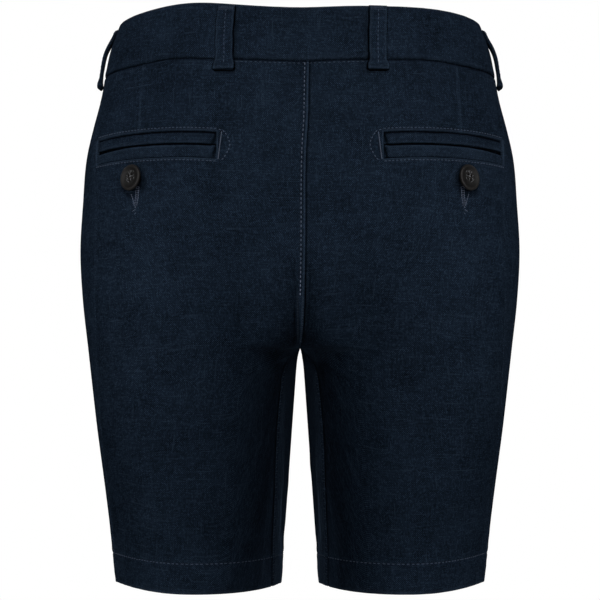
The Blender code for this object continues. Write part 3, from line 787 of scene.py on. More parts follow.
def panel_rows():
    """Heights of the rows at a panel's inner edge and at the side seam."""
    yoke = np.concatenate([
        BAND_FOOT - np.array([-0.7, -0.3, 0.1, 0.35, 0.8, 1.5]),
        np.linspace(-18.4, POCKET_TOP + 2.3, 30),
        POCKET_TOP + LIP,
        np.linspace(POCKET_TOP, POCKET_FOOT, 10)[1:-1],
        POCKET_FOOT - LIP[::-1],
        np.linspace(POCKET_FOOT - 2.3, SEAT_CURVE_STARTS, 8)[:-1],
    ])
    seat = even_heights(0.004, SEAT_CURVE_STARTS, CROTCH, 104)
    leg = CROTCH + (HEM_TOP + 0.9 - CROTCH) * np.linspace(0.0, 1.0, 83)[1:] ** 1.2
    hem = np.concatenate([
        HEM_TOP + np.array([0.4, 0.0, -0.4, -0.9]),
        np.linspace(HEM_TOP - 2.0, HEM + 1.2, 11),
        HEM + np.array([0.6, 0.2, 0.0]),
    ])
    side_seat = np.linspace(SEAT_CURVE_STARTS, SIDE_AT_CROTCH_ROW, len(seat))
    side_leg = np.linspace(SIDE_AT_CROTCH_ROW, HEM_TOP + 0.9, len(leg) + 1)[1:]
    inner = np.concatenate([yoke, seat, leg, hem])
    side = np.concatenate([yoke, side_seat, side_leg, hem])
    return inner, side


def back_columns():
    """Columns from the seat seam to the pocket, as shares, close together at both ends."""
    ends = EDGE_COLUMNS / BACK_TO_POCKET
    middle = np.linspace(ends[-1], 1.0 - ends[-1], 38)[1:-1]
    return np.concatenate([ends, middle, 1.0 - ends[::-1]])


def front_columns():
    """Columns of a front panel, as shares, close together in the folds beside the inseam."""
    return np.concatenate([
        EDGE_COLUMNS, np.arange(2.1, 13.0, 0.5), np.arange(13.2, 27.0, 0.9),
        np.linspace(27.6, FRONT_WIDTH - 1.6, 76)[:-1], FRONT_WIDTH - EDGE_COLUMNS[::-1],
    ]) / FRONT_WIDTH


def pocket_bow(along):
    """How much higher the pocket's lines are between its ends, which are at 0 and 1."""
    return POCKET_BOW * (1.0 - (2.0 * along - 1.0) ** 2)


ROW_INNER, ROW_SIDE = panel_rows()
POCKET_ROWS = [int(np.argmin(np.abs(ROW_INNER - h))) for h in (POCKET_TOP, POCKET_FOOT)]
print("rows:", len(ROW_INNER), "pocket rows:", POCKET_ROWS)

# %% [markdown]
# Where the two back panels meet, the left one is folded over its seam allowance and stitched
# down, so its edge lies a few millimetres past the centre line and stands a little proud. The
# front panels meet in the same way at the fly. Below the crotch each panel ends at the inseam.

# %% A panel's grid, before anything is sewn on it
Grid = namedtuple("Grid", "shares heights from_inner from_side around window")


def by_row(start, end):
    """A share for each row of a panel, 0 up to one height and 1 from another on."""
    return smoothstep(start, end, ROW_INNER)[:, None]


def panel_grid(is_front, side):
    """Shares and heights of a panel, and how far each point is from its edges."""
    lap = smooth_curve(FLY_EDGE if is_front else SEAT_SEAM, "across", ROW_INNER)
    inseam = smooth_curve(INSEAM, "share", CROTCH - ROW_INNER)
    centre = shares_at(lap, np.maximum(ROW_INNER, ABOVE_CROTCH), is_front)
    if is_front:
        inner = np.where(ROW_INNER < CROTCH, 1.0 + inseam, 1.0 - (1.0 - centre) * side)
    else:
        inner = np.where(ROW_INNER < CROTCH, inseam, centre * side)
    edge = smooth_curve(SIDE_SEAM, "share", ROW_SIDE)
    if is_front:
        shares = inner[:, None] + (edge - inner)[:, None] * front_columns()
        window = None
    else:
        near = np.clip(ROW_SIDE, POCKET_FOOT, POCKET_TOP)
        near_side = smooth_curve(SIDE_SEAM, "share", near)
        start = shares_at(POCKET_INNER, near) / near_side * edge
        end = edge * (1.0 - POCKET_TO_SIDE_SEAM / near_side)
        first, in_window = back_columns(), np.linspace(0.0, 1.0, 60)[1:]
        last = np.array([0.12, 0.3, 0.55, 0.8, 0.92, 1.0])
        parts = ((inner, start, first), (start, end, in_window), (end, edge, last))
        shares = np.concatenate([a[:, None] + (b - a)[:, None] * at for a, b, at in parts], 1)
        window = (len(first) - 1, len(first) - 1 + len(in_window))
    across = (shares - inner[:, None]) / (edge - inner)[:, None]
    spread = smoothstep(0.0, 0.6, across)
    heights = ROW_INNER[:, None] + (ROW_SIDE - ROW_INNER)[:, None] * spread
    if window:
        in_pocket = (shares - start[:, None]) / (end - start)[:, None]
        near_pocket = by_row(-35.0, POCKET_TOP) * by_row(SEAT_CURVE_STARTS, POCKET_FOOT)
        heights = heights + pocket_bow(in_pocket.clip(0.0, 1.0)) * near_pocket
    points = form(shares, heights)
    from_inner = lengths_along(points, 1)
    from_side = from_inner[:, -1:] - from_inner
    around = (1.0 - shares if is_front else shares) * HALF_GIRTH
    return Grid(shares, heights, from_inner, from_side, around, window)


grid = panel_grid(False, 1)
print("back panel grid:", grid.shares.shape, "widest", round(float(grid.from_inner.max()), 1))

# %% [markdown]
# ## What sewing does to a panel
#
# Sewn cloth is never as smooth as its pattern. Every seam edge rolls under, the allowance under
# a topstitched seam makes a low ridge, thread pulls small puckers, and a hem is two layers with
# a dent where the stitching holds them. All of these are lifts along the cloth's own normals,
# so they add up without disturbing the form.

# %% Lifts of a panel
CLOTH = 1.3
ALLOWANCE = 0.70
GATHER = 0.42
LOW_LEG = (-205.0, -245.0)
DART_TOP = Vector((91.9, -14.3))
DART_FOOT = Vector((94.0, -52.0))
LegFold = namedtuple("LegFold", "height around width lift")
LEG_FOLD = rows_of(LegFold, [
    (-222.0, 10.5, 1.7, 0.0), (-238.0, 10.7, 1.7, 0.45), (-253.0, 11.2, 1.7, 0.65),
    (-268.0, 8.8, 1.9, 0.9), (-291.0, 11.8, 2.3, 1.2), (-303.0, 14.5, 2.3, 1.1),
    (-316.0, 15.5, 2.3, 0.6),
])


def edge_rolls(grid, from_top, from_hem):
    """How far each edge of a panel rolls in."""
    return -(
        0.42 * bell(grid.from_inner, 0.55) + 0.26 * bell(grid.from_side, 0.55)
        + 0.80 * bell(np.maximum(from_top, 0.0), 0.8) + 0.30 * bell(from_hem, 0.35)
    )


def seam_ridges(grid, is_front, side):
    """Ridges of the allowances, and the dents beside them."""
    d = grid.from_inner
    above = by_row(CROTCH - 1.0, CROTCH + 6.0)
    below = 1.0 - above
    lift = 0.0 * d
    if side < 0:
        lift += above * ALLOWANCE * (1.0 - smoothstep(3.2, 4.8, d))
    elif not is_front:
        lift -= above * ALLOWANCE * bell(d, 0.7)
    if not is_front:
        low_seat = above * by_row(-118.0, -140.0)
        past = d - smooth_curve(SEAT_SEAM, "across", ROW_INNER)[:, None]
        if side < 0:
            lift += low_seat * 0.60 * (1.0 - smoothstep(1.3, 2.4, past))
            lift -= low_seat * 0.65 * bell(past - 3.1, 0.8)
        else:
            lift -= low_seat * 0.60 * bell(d - 2.1, 0.9)
        lift -= below * 0.45 * bell(d - 0.9, 0.9)
    else:
        lift += below * 0.12 * (1.0 - smoothstep(2.2, 3.4, d))
        gathered = (0.09 + 0.15 * by_row(*LOW_LEG)) * (1.0 - smoothstep(8.0, 12.5, d))
        lift += below * gathered * np.sin(d / GATHER) + leg_fold(d)[1]
        lift += 0.16 * (1.0 - smoothstep(4.0, 6.5, grid.from_side))
    return lift


def leg_fold(d):
    """A long fold inside the leg, on the front panel beside the inseam: its shape and lift."""
    columns = ("around", "width", "lift")
    around, width, lift = (smooth_curve(LEG_FOLD, c, ROW_INNER)[:, None] for c in columns)
    shape = bell(d - around, width) * (ROW_INNER < LEG_FOLD[0].height)[:, None]
    return shape * np.minimum(lift / 0.7, 1.0), shape * lift


def puckers(grid, from_top, from_hem, down, seed):
    """Puckers along each edge and along the hem's row: height, wave, distance and width."""
    rows = (
        (0.13, uneven(down, seed), grid.from_inner, 5.0),
        (0.10, uneven(down, seed + 1.9), grid.from_side, 4.5),
        (0.15, uneven(grid.around * 1.15, seed + 3.1), from_top - 1.0, 5.0),
        (0.15, uneven(grid.around * 1.05, seed + 4.7), from_hem - HEM_DEPTH, 4.5),
        (0.08, uneven(grid.around * 0.8, seed + 5.5), from_hem, 6.0),
    )
    return sum(height * wave * bell(distance, width) for height, wave, distance, width in rows)


def hem_lift(from_hem):
    """The dent under the hem's row, and the swell of the two layers below it."""
    dent = -0.30 * bell(from_hem - HEM_DEPTH, 0.65)
    return dent + 0.20 * bell(from_hem - 8.5, 6.0) + 0.12 * bell(from_hem - HEM_DEPTH - 2.5, 1.6)


def dart_lift(points):
    """A dart: a straight fold from the waist, fading out towards the pocket."""
    along = (DART_TOP.y - points[..., 2] - 4.0) / (DART_TOP.y - DART_FOOT.y)
    line = DART_TOP.x + (DART_FOOT.x - DART_TOP.x) * along
    aside = points[..., 0] - line
    fade = (1.0 - smoothstep(0.75, 1.05, along)) * smoothstep(-0.4, -0.1, along)
    is_back = points[..., 1] < 0.0
    fold = -0.34 * bell(aside, 0.8) + 0.24 * bell(aside + 1.4, 0.9)
    return fold * fade * is_back, bell(aside + 0.9, 0.75) * fade * is_back


def window_distance(grid, points):
    """How far each point is from the pocket's window, and in which cells the window is."""
    first, last = grid.window
    top, foot = POCKET_ROWS
    u, v = lengths_along(points, 1), lengths_along(points, 0)
    beside = np.maximum(u[:, first:first + 1] - u, u - u[:, last:last + 1])
    above = np.maximum(v[top:top + 1] - v, v - v[foot:foot + 1])
    distance = np.hypot(np.maximum(beside, 0.0), np.maximum(above, 0.0))
    kept = np.ones((u.shape[0] - 1, u.shape[1] - 1), bool)
    kept[top:foot, first:last] = False
    return distance, kept


print("cloth thickness:", CLOTH, "mm")

# %% [markdown]
# ## Sewing the four panels
#
# The same steps make each panel. What is worn paler is worked out beside the lifts: the edges
# of the seams, the lips of the pockets and the fold of the hem. Painted light and shade are
# worked out there too: painted shade in the ditches of the seams, under a pocket's button, on
# the yoke's flanks and down the legs, and painted light round the crotch, in the middle of the
# yoke and beside the front inseam. Under a pocket's button the cloth is pulled down into the
# slit of its buttonhole.

# %% Make the panels
WAIST_RISE = (2.1, 1.2)
# BUTTON_SHADE is the centre of the painted shadow on the panel under a pocket button.
BUTTON_SHADE = (96.0, -79.6)
HOLE_TOP = (97.2, -86.5)
HOLE_FOOT = (94.6, -95.6)


def mirrored(points, side):
    """Points of the right half, moved to the left one if side is -1."""
    return points * np.array([side, 1.0, 1.0])


def hole_dent(points):
    """The buttonhole's slit, from under the button down to its bar."""
    (x0, z0), (x1, z1) = HOLE_TOP, HOLE_FOOT
    along = ((z0 - points[..., 2]) / (z0 - z1)).clip(-0.6, 1.0)
    aside = points[..., 0] - (x0 + (x1 - x0) * along)
    inside = smoothstep(z1 - 1.0, z1 + 1.5, points[..., 2])
    inside = inside * (1.0 - smoothstep(z0 + 5.0, z0 + 8.0, points[..., 2]))
    return -0.75 * bell(aside, 0.35 + 0.55 * (1.0 - along)) * inside * (points[..., 1] < 0.0)


def waist_rise(share, side):
    """How far the waist seam is drawn up between the back and the side, in millimetres."""
    return np.where(np.asarray(side) < 0, *WAIST_RISE) * bell(np.abs(share) - 0.30, 0.062)


def wear_and_painted_shading_of(grid, is_front, side, points, from_top, from_hem):
    """Rubbed wear and painted light on a panel are above 0, painted shade is below 0."""
    d = grid.from_inner
    above = by_row(CROTCH - 1.0, CROTCH + 3.0)
    below = smoothstep(-5.0, -13.0, ROW_INNER - CROTCH)[:, None]
    # The side seam's edge is worn paler; painted shade lies in the ditch under the waistband.
    wear_and_painted_shading = 0.08 * bell(grid.from_side - 0.9, 0.7) - 0.60 * bell(from_top - 0.1, 0.7)
    wear_and_painted_shading += 0.45 * bell(from_hem - 0.4, 0.8) + 0.25 * bell(from_hem - HEM_DEPTH - 1.0, 0.8)
    # At the seat seam the edge of the lapping fold is worn paler, with painted shade in the ditch.
    if side < 0:
        wear_and_painted_shading += above * (0.62 * bell(d - 0.65, 0.5) - 0.30 * bell(d - 1.6, 0.5))
    else:
        wear_and_painted_shading -= above * 0.62 * bell(d, 0.65)
    if is_front:
        # Painted light on the strip and the fold beside the inseam, and painted shade in its
        # ditch.
        gathered = (0.12 + 0.16 * by_row(*LOW_LEG)) * np.sin(d / GATHER)
        strip = 0.50 + gathered * (1.0 - smoothstep(8.0, 12.5, d))
        wear_and_painted_shading += below * strip * smoothstep(0.6, 3.2, d) * (1.0 - smoothstep(10.0, 34.0, d))
        wear_and_painted_shading += 0.50 * leg_fold(d)[0] - below * 0.38 * bell(d, 1.5)
    else:
        # Painted light in the middle of the yoke, painted shade on its flanks and down the legs,
        # most towards the inseam, and in the inseam's ditch.
        middle = bell(d, 48.0) * by_row(-110.0, -40.0)
        flank = bell(d - 88.0, 24.0) * by_row(-85.0, -50.0)
        leg = by_row(-135.0, -215.0) * by_row(-318.0, -285.0)
        wear_and_painted_shading += 0.055 * middle - 0.22 * flank - leg * (0.19 + 0.12 * bell(d, 24.0))
        wear_and_painted_shading -= below * (0.75 * bell(d, 0.8) + 0.30 * bell(d - 1.5, 2.0))
        # Painted light round the crotch, where the seat turns under and the lamps leave it dark.
        up = grid.heights - CROTCH
        under = np.where(up > 0.0, 0.40 * bell(up, 3.5), smoothstep(-9.5, -6.0, up))
        wear_and_painted_shading += 0.90 * under * (1.0 - smoothstep(20.0, 62.0, d))
        if side < 0:
            # Low on the seat seam the fold's edge is worn paler, with painted shade in the ditch
            # beside it.
            low = smoothstep(1.0, 5.0, up) * (1.0 - smoothstep(31.0, 38.0, up))
            ditch = 0.45 + 0.50 * bell(up - 18.5, 4.0)
            past = points[..., 0]
            wear_and_painted_shading += low * (0.50 * bell(past - 1.2, 0.45) - ditch * bell(past - 3.1, 0.7))
        else:
            # Painted shade beside the seam on the right panel, above the crotch.
            wear_and_painted_shading -= 0.20 * bell(d - 20.0, 18.0) * bell(up - 22.0, 18.0)
        # Painted shadow on the panel under the rim of the pocket button.
        aside, up = points[..., 0] - BUTTON_SHADE[0], points[..., 2] - BUTTON_SHADE[1]
        wear_and_painted_shading -= 0.55 * (1.0 - smoothstep(6.0, 9.5, np.hypot(aside, up * 0.86)))
    return wear_and_painted_shading


SEEDS = {"back_left": 0.3, "back_right": 1.1, "front_left": 2.2, "front_right": 3.7}
SIDES = ((-1, "left"), (1, "right"))


def make_panel(face, side, side_name):
    is_front = face == "front"
    name = f"{face}_{side_name}"
    grid, seed = panel_grid(is_front, side), SEEDS[name]
    drawn_up = waist_rise(grid.shares, side)
    heights = grid.heights + drawn_up * smoothstep(-52.0, BAND_FOOT, grid.heights)
    points, normals = form(grid.shares, heights), outward(grid.shares, heights)
    centre = ROW_INNER > CROTCH - 0.3
    middle = normals[centre, 0] * np.array([0.0, 1.0, 1.0])
    normals[centre, 0] = unit(middle)
    from_top, from_hem = BAND_FOOT - grid.heights, grid.heights - HEM
    down = lengths_along(points, 0)
    lift = edge_rolls(grid, from_top, from_hem) + seam_ridges(grid, is_front, side)
    lift += puckers(grid, from_top, from_hem, down, seed) + hem_lift(from_hem)
    calm = smoothstep(0.0, 7.0, np.minimum(grid.from_inner, grid.from_side))
    calm = calm * smoothstep(0.0, 7.0, np.minimum(from_top, from_hem))
    creases = crease_lift(CREASES[name], grid.around, grid.heights)
    wear_and_painted_shading = wear_and_painted_shading_of(grid, is_front, side, points, from_top, from_hem)
    kept = None
    if not is_front:
        distance, kept = window_distance(grid, points)
        calm = calm * smoothstep(1.0, 10.0, distance)
        lift += 0.40 * bell(distance - 1.2, 1.2) - 0.55 * bell(distance, 0.28)
        lift += 0.09 * uneven(grid.around * 1.2, seed + 7.0) * bell(distance - 2.4, 3.0)
        fold, made_paler = dart_lift(points)
        lift += fold + hole_dent(points)
        wear_and_painted_shading += 0.60 * made_paler + 0.75 * bell(distance - 0.5, 0.45)
    lift = (lift + creases * calm)[..., None]
    two_layers = 1.0 + smoothstep(HEM_TOP + 0.4, HEM_TOP - 0.4, ROW_INNER)[:, None, None]
    outer = points + normals * lift
    inner = outer - normals * (CLOTH * two_layers * 0.9)
    outer, inner = (mirrored(grid_points, side) for grid_points in (outer, inner))
    return make_sheet(
        f"linen_{face}_panel_{side_name}", outer, inner, wear_and_painted_shading.clip(-1.0, 1.0), kept,
        grain=(seed * 400.0, seed * 170.0),
    )


panels = {}
for face in ("back", "front"):
    for side, side_name in SIDES:
        panels[face, side] = make_panel(face, side, side_name)
        stands_for(panels[face, side], f"{face}_panel_{side_name}")

# %% [markdown]
# ## The waistband
#
# The band is one folded strip. Its top is a soft fold, its foot is caught in the seam, and its
# left end laps over the right one at the centre front, so the strip is cut longer than the
# waist. It is laid round the form by angle, and the under end is tucked in by its thickness.

# %% Make the waistband
BAND_PROUD = 0.4
BAND_THICKNESS = 2.5
WAIST_RADIUS = 108.0
LAP_OVER = 0.16
LAP_UNDER = 0.34


def share_of_turn(turn):
    """The form's share at a turn round the waist: 0 is centre back and pi is centre front."""
    return np.abs((np.asarray(turn) + math.pi) % (2 * math.pi) - math.pi) / math.pi


def band_points(turn, height, lift):
    """Points round the whole waist. Positive turns go round by the right."""
    side = np.where(np.sin(turn) < 0, -1.0, 1.0)
    share = share_of_turn(turn)
    points = form(share, height) + outward(share, height) * np.asarray(lift)[..., None]
    points[..., 0] = np.abs(points[..., 0]) * side
    return points


turn = np.concatenate([
    -math.pi - LAP_OVER + np.array([0.0, 0.002, 0.006]),
    np.linspace(-math.pi - LAP_OVER + 0.014, math.pi + LAP_UNDER - 0.01, 470),
    [math.pi + LAP_UNDER],
])
level = np.concatenate([
    BAND_TOP - np.array([0.0, 0.12, 0.4, 0.9, 1.6]),
    np.linspace(13.2, -13.2, 24),
    BAND_FOOT + np.array([1.7, 0.95, 0.5, 0.25, 0.15]),
])
turns, levels = np.meshgrid(turn, level)
sides = share_of_turn(turns)
is_left = np.sin(turns) < 0
rise = np.where(is_left, 2.9 * bell(sides - 0.292, 0.10), 0.8 * bell(sides - 0.335, 0.08))
risen = levels + rise * smoothstep(-2.0, BAND_TOP, levels)
drawn_up = waist_rise(sides, np.where(is_left, -1, 1))
risen = risen + drawn_up * (1.0 - smoothstep(BAND_FOOT, 9.0, levels))
lap_starts = math.pi - LAP_OVER
tucked = smoothstep(lap_starts - 0.45, lap_starts - 0.05, turns)
depth = tucked * (BAND_THICKNESS + 0.4)
round_waist = turns * WAIST_RADIUS
from_top, from_foot = BAND_TOP - levels, levels - BAND_FOOT
lift = (
    BAND_PROUD - depth - 0.85 * bell(from_top, 0.45) - 0.80 * bell(from_foot, 0.7)
    + 0.16 * bell(from_top - 3.0, 2.2) + 0.14 * bell(from_foot - 2.5, 2.0)
    + 0.10 * uneven(round_waist * 0.9, 0.8) * bell(from_foot, 4.0)
    + 0.09 * uneven(round_waist * 0.6, 4.1) * bell(from_top, 5.0)
    + 0.22 * np.sin(round_waist / 21.0 + 0.7) * np.sin(round_waist / 8.3) * bell(levels, 10.0)
)
inner_lift = BAND_PROUD - depth - BAND_THICKNESS + 0.55 * bell(from_top, 0.45)
# The band's top fold is worn paler. Painted shade lies in the ditch at its foot and on its
# sides, and painted light in the middle of the back.
wear_and_painted_shading = 0.42 * bell(from_top - 0.3, 0.8) - 0.60 * bell(from_foot, 0.65)
wear_and_painted_shading = wear_and_painted_shading + 0.12 * bell(from_foot - 2.0, 0.8) + 0.05 * bell(sides, 0.13)
wear_and_painted_shading = wear_and_painted_shading - 0.16 * bell(sides - 0.33, 0.12)
band_outer, band_inner = (band_points(turns, risen, value) for value in (lift, inner_lift))
band = make_sheet("linen_waistband", band_outer, band_inner, wear_and_painted_shading, grain=(55.0, 910.0))
stands_for(band, "waistband")

# %% [markdown]
# ## The belt loops
#
# A loop is a narrow strip, folded in and stitched down its middle. Its top goes over the edge
# of the band and its foot is folded under, which makes it flare and thicken there. One table of
# stations gives its lift, thickness and width on the way down.

# %% Make the belt loops
LoopStation = namedtuple("LoopStation", "down lift thickness width")
LOOP_STATIONS = rows_of(LoopStation, [
    (0.0, 0.35, 0.85, 1.02), (0.07, 0.45, 1.05, 1.04), (0.2, 1.1, 1.0, 1.05),
    (0.4, 1.5, 1.0, 1.04), (0.6, 1.5, 1.0, 1.04), (0.78, 1.2, 1.0, 1.03), (0.84, 0.9, 1.1, 1.06),
    (0.90, 0.65, 1.35, 1.24), (0.95, 0.6, 1.4, 1.27), (0.985, 0.6, 1.2, 1.18),
    (1.0, 0.6, 0.8, 0.98),
])
Loop = namedtuple("Loop", "name side top_x foot_x front top foot")
LOOPS = [
    Loop("back_left", -1, 41.7, 43.3, False, 15.6, -23.0),
    Loop("back_right", 1, 44.0, 43.9, False, 15.6, -23.0),
    Loop("side_left", -1, None, None, False, 12.0, -22.4),
    Loop("side_right", 1, None, None, False, 12.0, -22.4),
    Loop("front_left", -1, 52.0, 54.5, True, 15.6, -21.8),
    Loop("front_right", 1, 52.0, 54.5, True, 15.6, -21.8),
]
LOOP_WIDTH = 10.4
LOOP_THICKNESS = 1.9


def loop_line(loop, heights):
    """Shares of a loop's middle line."""
    if loop.top_x is None:
        return np.full(len(heights), SIDE_SEAM[0].share)
    down = (loop.top - heights) / (loop.top - loop.foot)
    return shares_at(loop.top_x + (loop.foot_x - loop.top_x) * down, heights, loop.front)


def loop_grid(loop, down, across):
    """Outer and inner points of a loop at these places down it and across it (-1 to 1)."""
    heights = loop.top + (loop.foot - loop.top) * down
    shares = loop_line(loop, heights)
    step = 0.01
    reach = form(shares + step, heights) - form(shares - step, heights)
    per_mm = 2 * step / np.linalg.norm(reach, axis=-1)
    wide = LOOP_WIDTH / 2 * smooth_curve(LOOP_STATIONS, "width", down)
    wave = 0.36 * uneven(down * 34.0 + 3.0 * loop.side, 1.3) * np.sin(math.pi * down) ** 0.3
    sway = 0.25 * np.sin(down * 7.0 + loop.side)
    grid = shares[:, None] + ((wide + wave)[:, None] * across + sway[:, None]) * per_mm[:, None]
    levels = np.broadcast_to(heights[:, None], grid.shape)
    lift = smooth_curve(LOOP_STATIONS, "lift", down)[:, None]
    thick = LOOP_THICKNESS * smooth_curve(LOOP_STATIONS, "thickness", down)[:, None]
    if loop.top_x is None:
        lift = (lift + 0.5) * smoothstep(-0.02, 0.45, down)[:, None] - 0.5
        thick = thick * 1.18
    lift = lift + BAND_PROUD
    folded = 0.6 * smoothstep(0.88, 0.94, down)[:, None]
    full = (1.0 - np.abs(across) ** 3.2) ** (1.0 / 3.2) * 0.92 + 0.08
    ends = np.minimum(down, 1.0 - down)[:, None] * (loop.top - loop.foot)
    full = full * (1.0 - 0.75 * bell(ends, 0.55))
    puff = 0.10 * bell(np.abs(across) - 0.72, 0.16) - 0.14 * bell(across, 0.10)
    puff = puff + 0.06 * uneven(down[:, None] * 30.0, loop.side + 2.0)
    normals = outward(grid, levels)
    base = form(grid, levels)
    outer = base + normals * (lift + thick * (0.5 + 0.5 * full) + puff * full)[..., None]
    inner = base + normals * (lift - folded + thick * (0.5 - 0.5 * full))[..., None]
    return mirrored(outer, loop.side), mirrored(inner, loop.side)


LOOP_DOWN = np.concatenate([
    [0.0, 0.004, 0.012, 0.026], np.linspace(0.045, 0.93, 40),
    [0.945, 0.96, 0.972, 0.983, 0.991, 0.997, 1.0],
])
LOOP_ACROSS = np.sin(np.linspace(-math.pi / 2, math.pi / 2, 21))
loops = {}
for loop in LOOPS:
    outer, inner = loop_grid(loop, LOOP_DOWN, LOOP_ACROSS)
    aside, end = np.abs(LOOP_ACROSS)[None, :], LOOP_DOWN[:, None]
    # A loop's edges and folds are worn paler; painted shade darkens its outline at the sides and
    # foot.
    wear_and_painted_shading = 0.42 * bell(aside - 0.80, 0.08) + 0.30 * bell(end - 0.962, 0.014)
    wear_and_painted_shading = wear_and_painted_shading + 0.30 * bell(end, 0.02)
    # The outline's painted shade is strong on the back and front loops and weak on the side loops.
    edge = 1.5 if loop.top_x else 0.35
    wear_and_painted_shading = wear_and_painted_shading - edge * np.maximum(smoothstep(0.88, 0.97, aside), smoothstep(0.977, 0.992, end))
    seed = 30.0 * len(loops)
    piece = make_sheet(f"linen_loop_{loop.name}", outer, inner, wear_and_painted_shading.clip(-1.0, 1.0),
                       grain=(seed, 3.0 * seed))
    stands_for(piece, f"belt_loop_{loop.name}")
    loops[loop.name] = piece

# %% [markdown]
# ## The pocket welts and the fly shield
#
# Two folded strips fill each pocket's window, a little below the panel's lips. Their folds meet
# at the slit, which gapes slightly at its outer end. Their allowances turn in behind the panel,
# and the lower one reaches up behind the slit, so that no light comes through. The fly shield
# hides behind the front opening and needs only its shape and a rounded foot.

# %% Make the welts
WELT_ALONG = np.concatenate([
    [-0.018, -0.006, 0.0, 0.004, 0.012], np.linspace(0.025, 0.975, 70), [0.99, 1.0, 1.006, 1.018],
])
WELT_DOWN = np.array([0.0, 0.03, 0.09, 0.2, 0.35, 0.5, 0.65, 0.8, 0.91, 0.97, 1.0])
UPPER_DOWN = np.concatenate([[-0.20, -0.06], WELT_DOWN])
LOWER_DOWN = np.concatenate([[-0.60, -0.30, -0.06], WELT_DOWN, [1.06, 1.20]])
WELT_LENGTH = 84.0
WELT_SUNK = 0.85
WELT_INSET = 0.28


def welt_grid(side, top, foot, slit_at):
    """Outer and inner points of a welt. slit_at is 1 if the slit is at its foot, 0 at its top."""
    edges = (top - WELT_INSET, foot + WELT_INSET)
    shares = []
    for height in edges:
        start = share_at_x(POCKET_INNER + WELT_INSET, height)
        end = smooth_curve(SIDE_SEAM, "share", height) - POCKET_TO_SIDE_SEAM
        shares.append(start + (end - WELT_INSET / HALF_GIRTH - start) * WELT_ALONG)
    down = (UPPER_DOWN if slit_at else LOWER_DOWN)[:, None]
    shares = shares[0] * (1 - down) + shares[1] * down
    opens = smoothstep(0.015, 0.05, WELT_ALONG)
    gape = 0.85 * smoothstep(0.66, 1.0, WELT_ALONG) + 0.32 * opens
    heights = edges[0] + (edges[1] - edges[0]) * down + pocket_bow(WELT_ALONG)
    if slit_at == 0:
        heights = heights - gape * np.minimum(1.0 - down, 1.0)
    from_slit = np.abs(down - slit_at) * (top - foot)
    from_seam = np.abs(1.0 - slit_at - down) * (top - foot)
    past_end = WELT_LENGTH * np.maximum(-WELT_ALONG, WELT_ALONG - 1.0)
    past_seam = (top - foot) * (-down if slit_at else down - 1.0)
    behind = smoothstep(0.0, 0.4, np.maximum(past_end, past_seam))
    tucked = smoothstep(0.0, 0.4, down * (foot - top)) * (1.0 - slit_at)
    wave = 0.07 * uneven(WELT_ALONG * 80.0, side + 3.0 * slit_at)
    lift = -WELT_SUNK + 0.20 * bell(from_slit - 1.4, 1.2) - 0.50 * opens * bell(from_slit, 0.35)
    lift = lift - 0.25 * bell(from_seam, 0.7) + wave * bell(down - 0.5, 0.5)
    lift = lift - np.maximum(1.25 * behind, 1.75 * tucked)
    normals = outward(shares, heights)
    outer = form(shares, heights) + normals * lift[..., None]
    thick = 1.0 - 0.5 * bell(from_slit, 0.3)
    inner = outer - normals * np.broadcast_to(thick, shares.shape)[..., None]
    # The slit's lips are worn paler and the lower welt is a little paler than the upper one.
    # Painted
    # shade darkens the welts' seam edges, their inner ends, the gaping slit and the parts behind.
    from_end = WELT_ALONG * 70.0 - 2.0 * down
    wear_and_painted_shading = 0.38 * bell(from_slit - 0.7, 0.5) + (-0.04 if slit_at else 0.10) + 0.0 * shares
    wear_and_painted_shading = wear_and_painted_shading - (1.3 if slit_at else 0.6) * bell(from_seam, 0.8 if slit_at else 0.5)
    wear_and_painted_shading = wear_and_painted_shading - 1.2 * bell(from_end, 1.1) - 0.8 * opens * bell(from_slit, 0.3)
    wear_and_painted_shading = (wear_and_painted_shading - 2.0 * np.maximum(behind, tucked)).clip(-1.0, 1.0)
    return mirrored(outer, side), mirrored(inner, side), wear_and_painted_shading


welts = {}
for side, side_name in SIDES:
    strips = (("upper", POCKET_TOP, POCKET_SLIT, 1.0), ("lower", POCKET_SLIT, POCKET_FOOT, 0.0))
    for place, top, foot, slit_at in strips:
        name = f"{place}_{side_name}"
        outer, inner, wear_and_painted_shading = welt_grid(side, top, foot, slit_at)
        welts[name] = make_sheet(f"linen_welt_{name}", outer, inner, wear_and_painted_shading,
                                 grain=(140.0 + 9.0 * top, 77.0 * side))
        stands_for(welts[name], f"pocket_welt_{name}")

# %% Make the fly shield
SHIELD_HALF_WIDTH = 15.0
SHIELD_FOOT = -98.0
rows = np.concatenate([np.linspace(-16.8, -84.0, 44), np.linspace(-85.0, SHIELD_FOOT, 14)])
rounding = smoothstep(SHIELD_FOOT + SHIELD_HALF_WIDTH, SHIELD_FOOT, rows)
half_width = SHIELD_HALF_WIDTH * np.sqrt(1.0 - (0.93 * rounding) ** 2)
across = half_width[:, None] * np.linspace(-1.0, 1.0, 23)
shares = shares_at(np.abs(across), rows[:, None], True)
levels = np.broadcast_to(rows[:, None], shares.shape)
walls = []
for lift in (-2.1, -3.1):
    points = form(shares, levels) + outward(shares, levels) * lift
    points[..., 0] = across
    walls.append(points)
shield = make_sheet("linen_fly_shield", *walls, np.zeros(shares.shape), finish=linen_in_painted_shade)
stands_for(shield, "fly_shield")

# %% [markdown]
# ## Sewing
#
# Each stitch is a short length of thread that comes out of the cloth, lies on it and dives back
# in. Drawn lines would vanish at an angle, so the stitches are real: a path is dropped onto the
# finished cloth with rays, cut into even steps, and a small arched tube is laid on each step.
# A table says how long, how thick and how far apart the stitches of each seam are. `ALONE` is a
# pitch longer than any short path, which then gets a single thread.

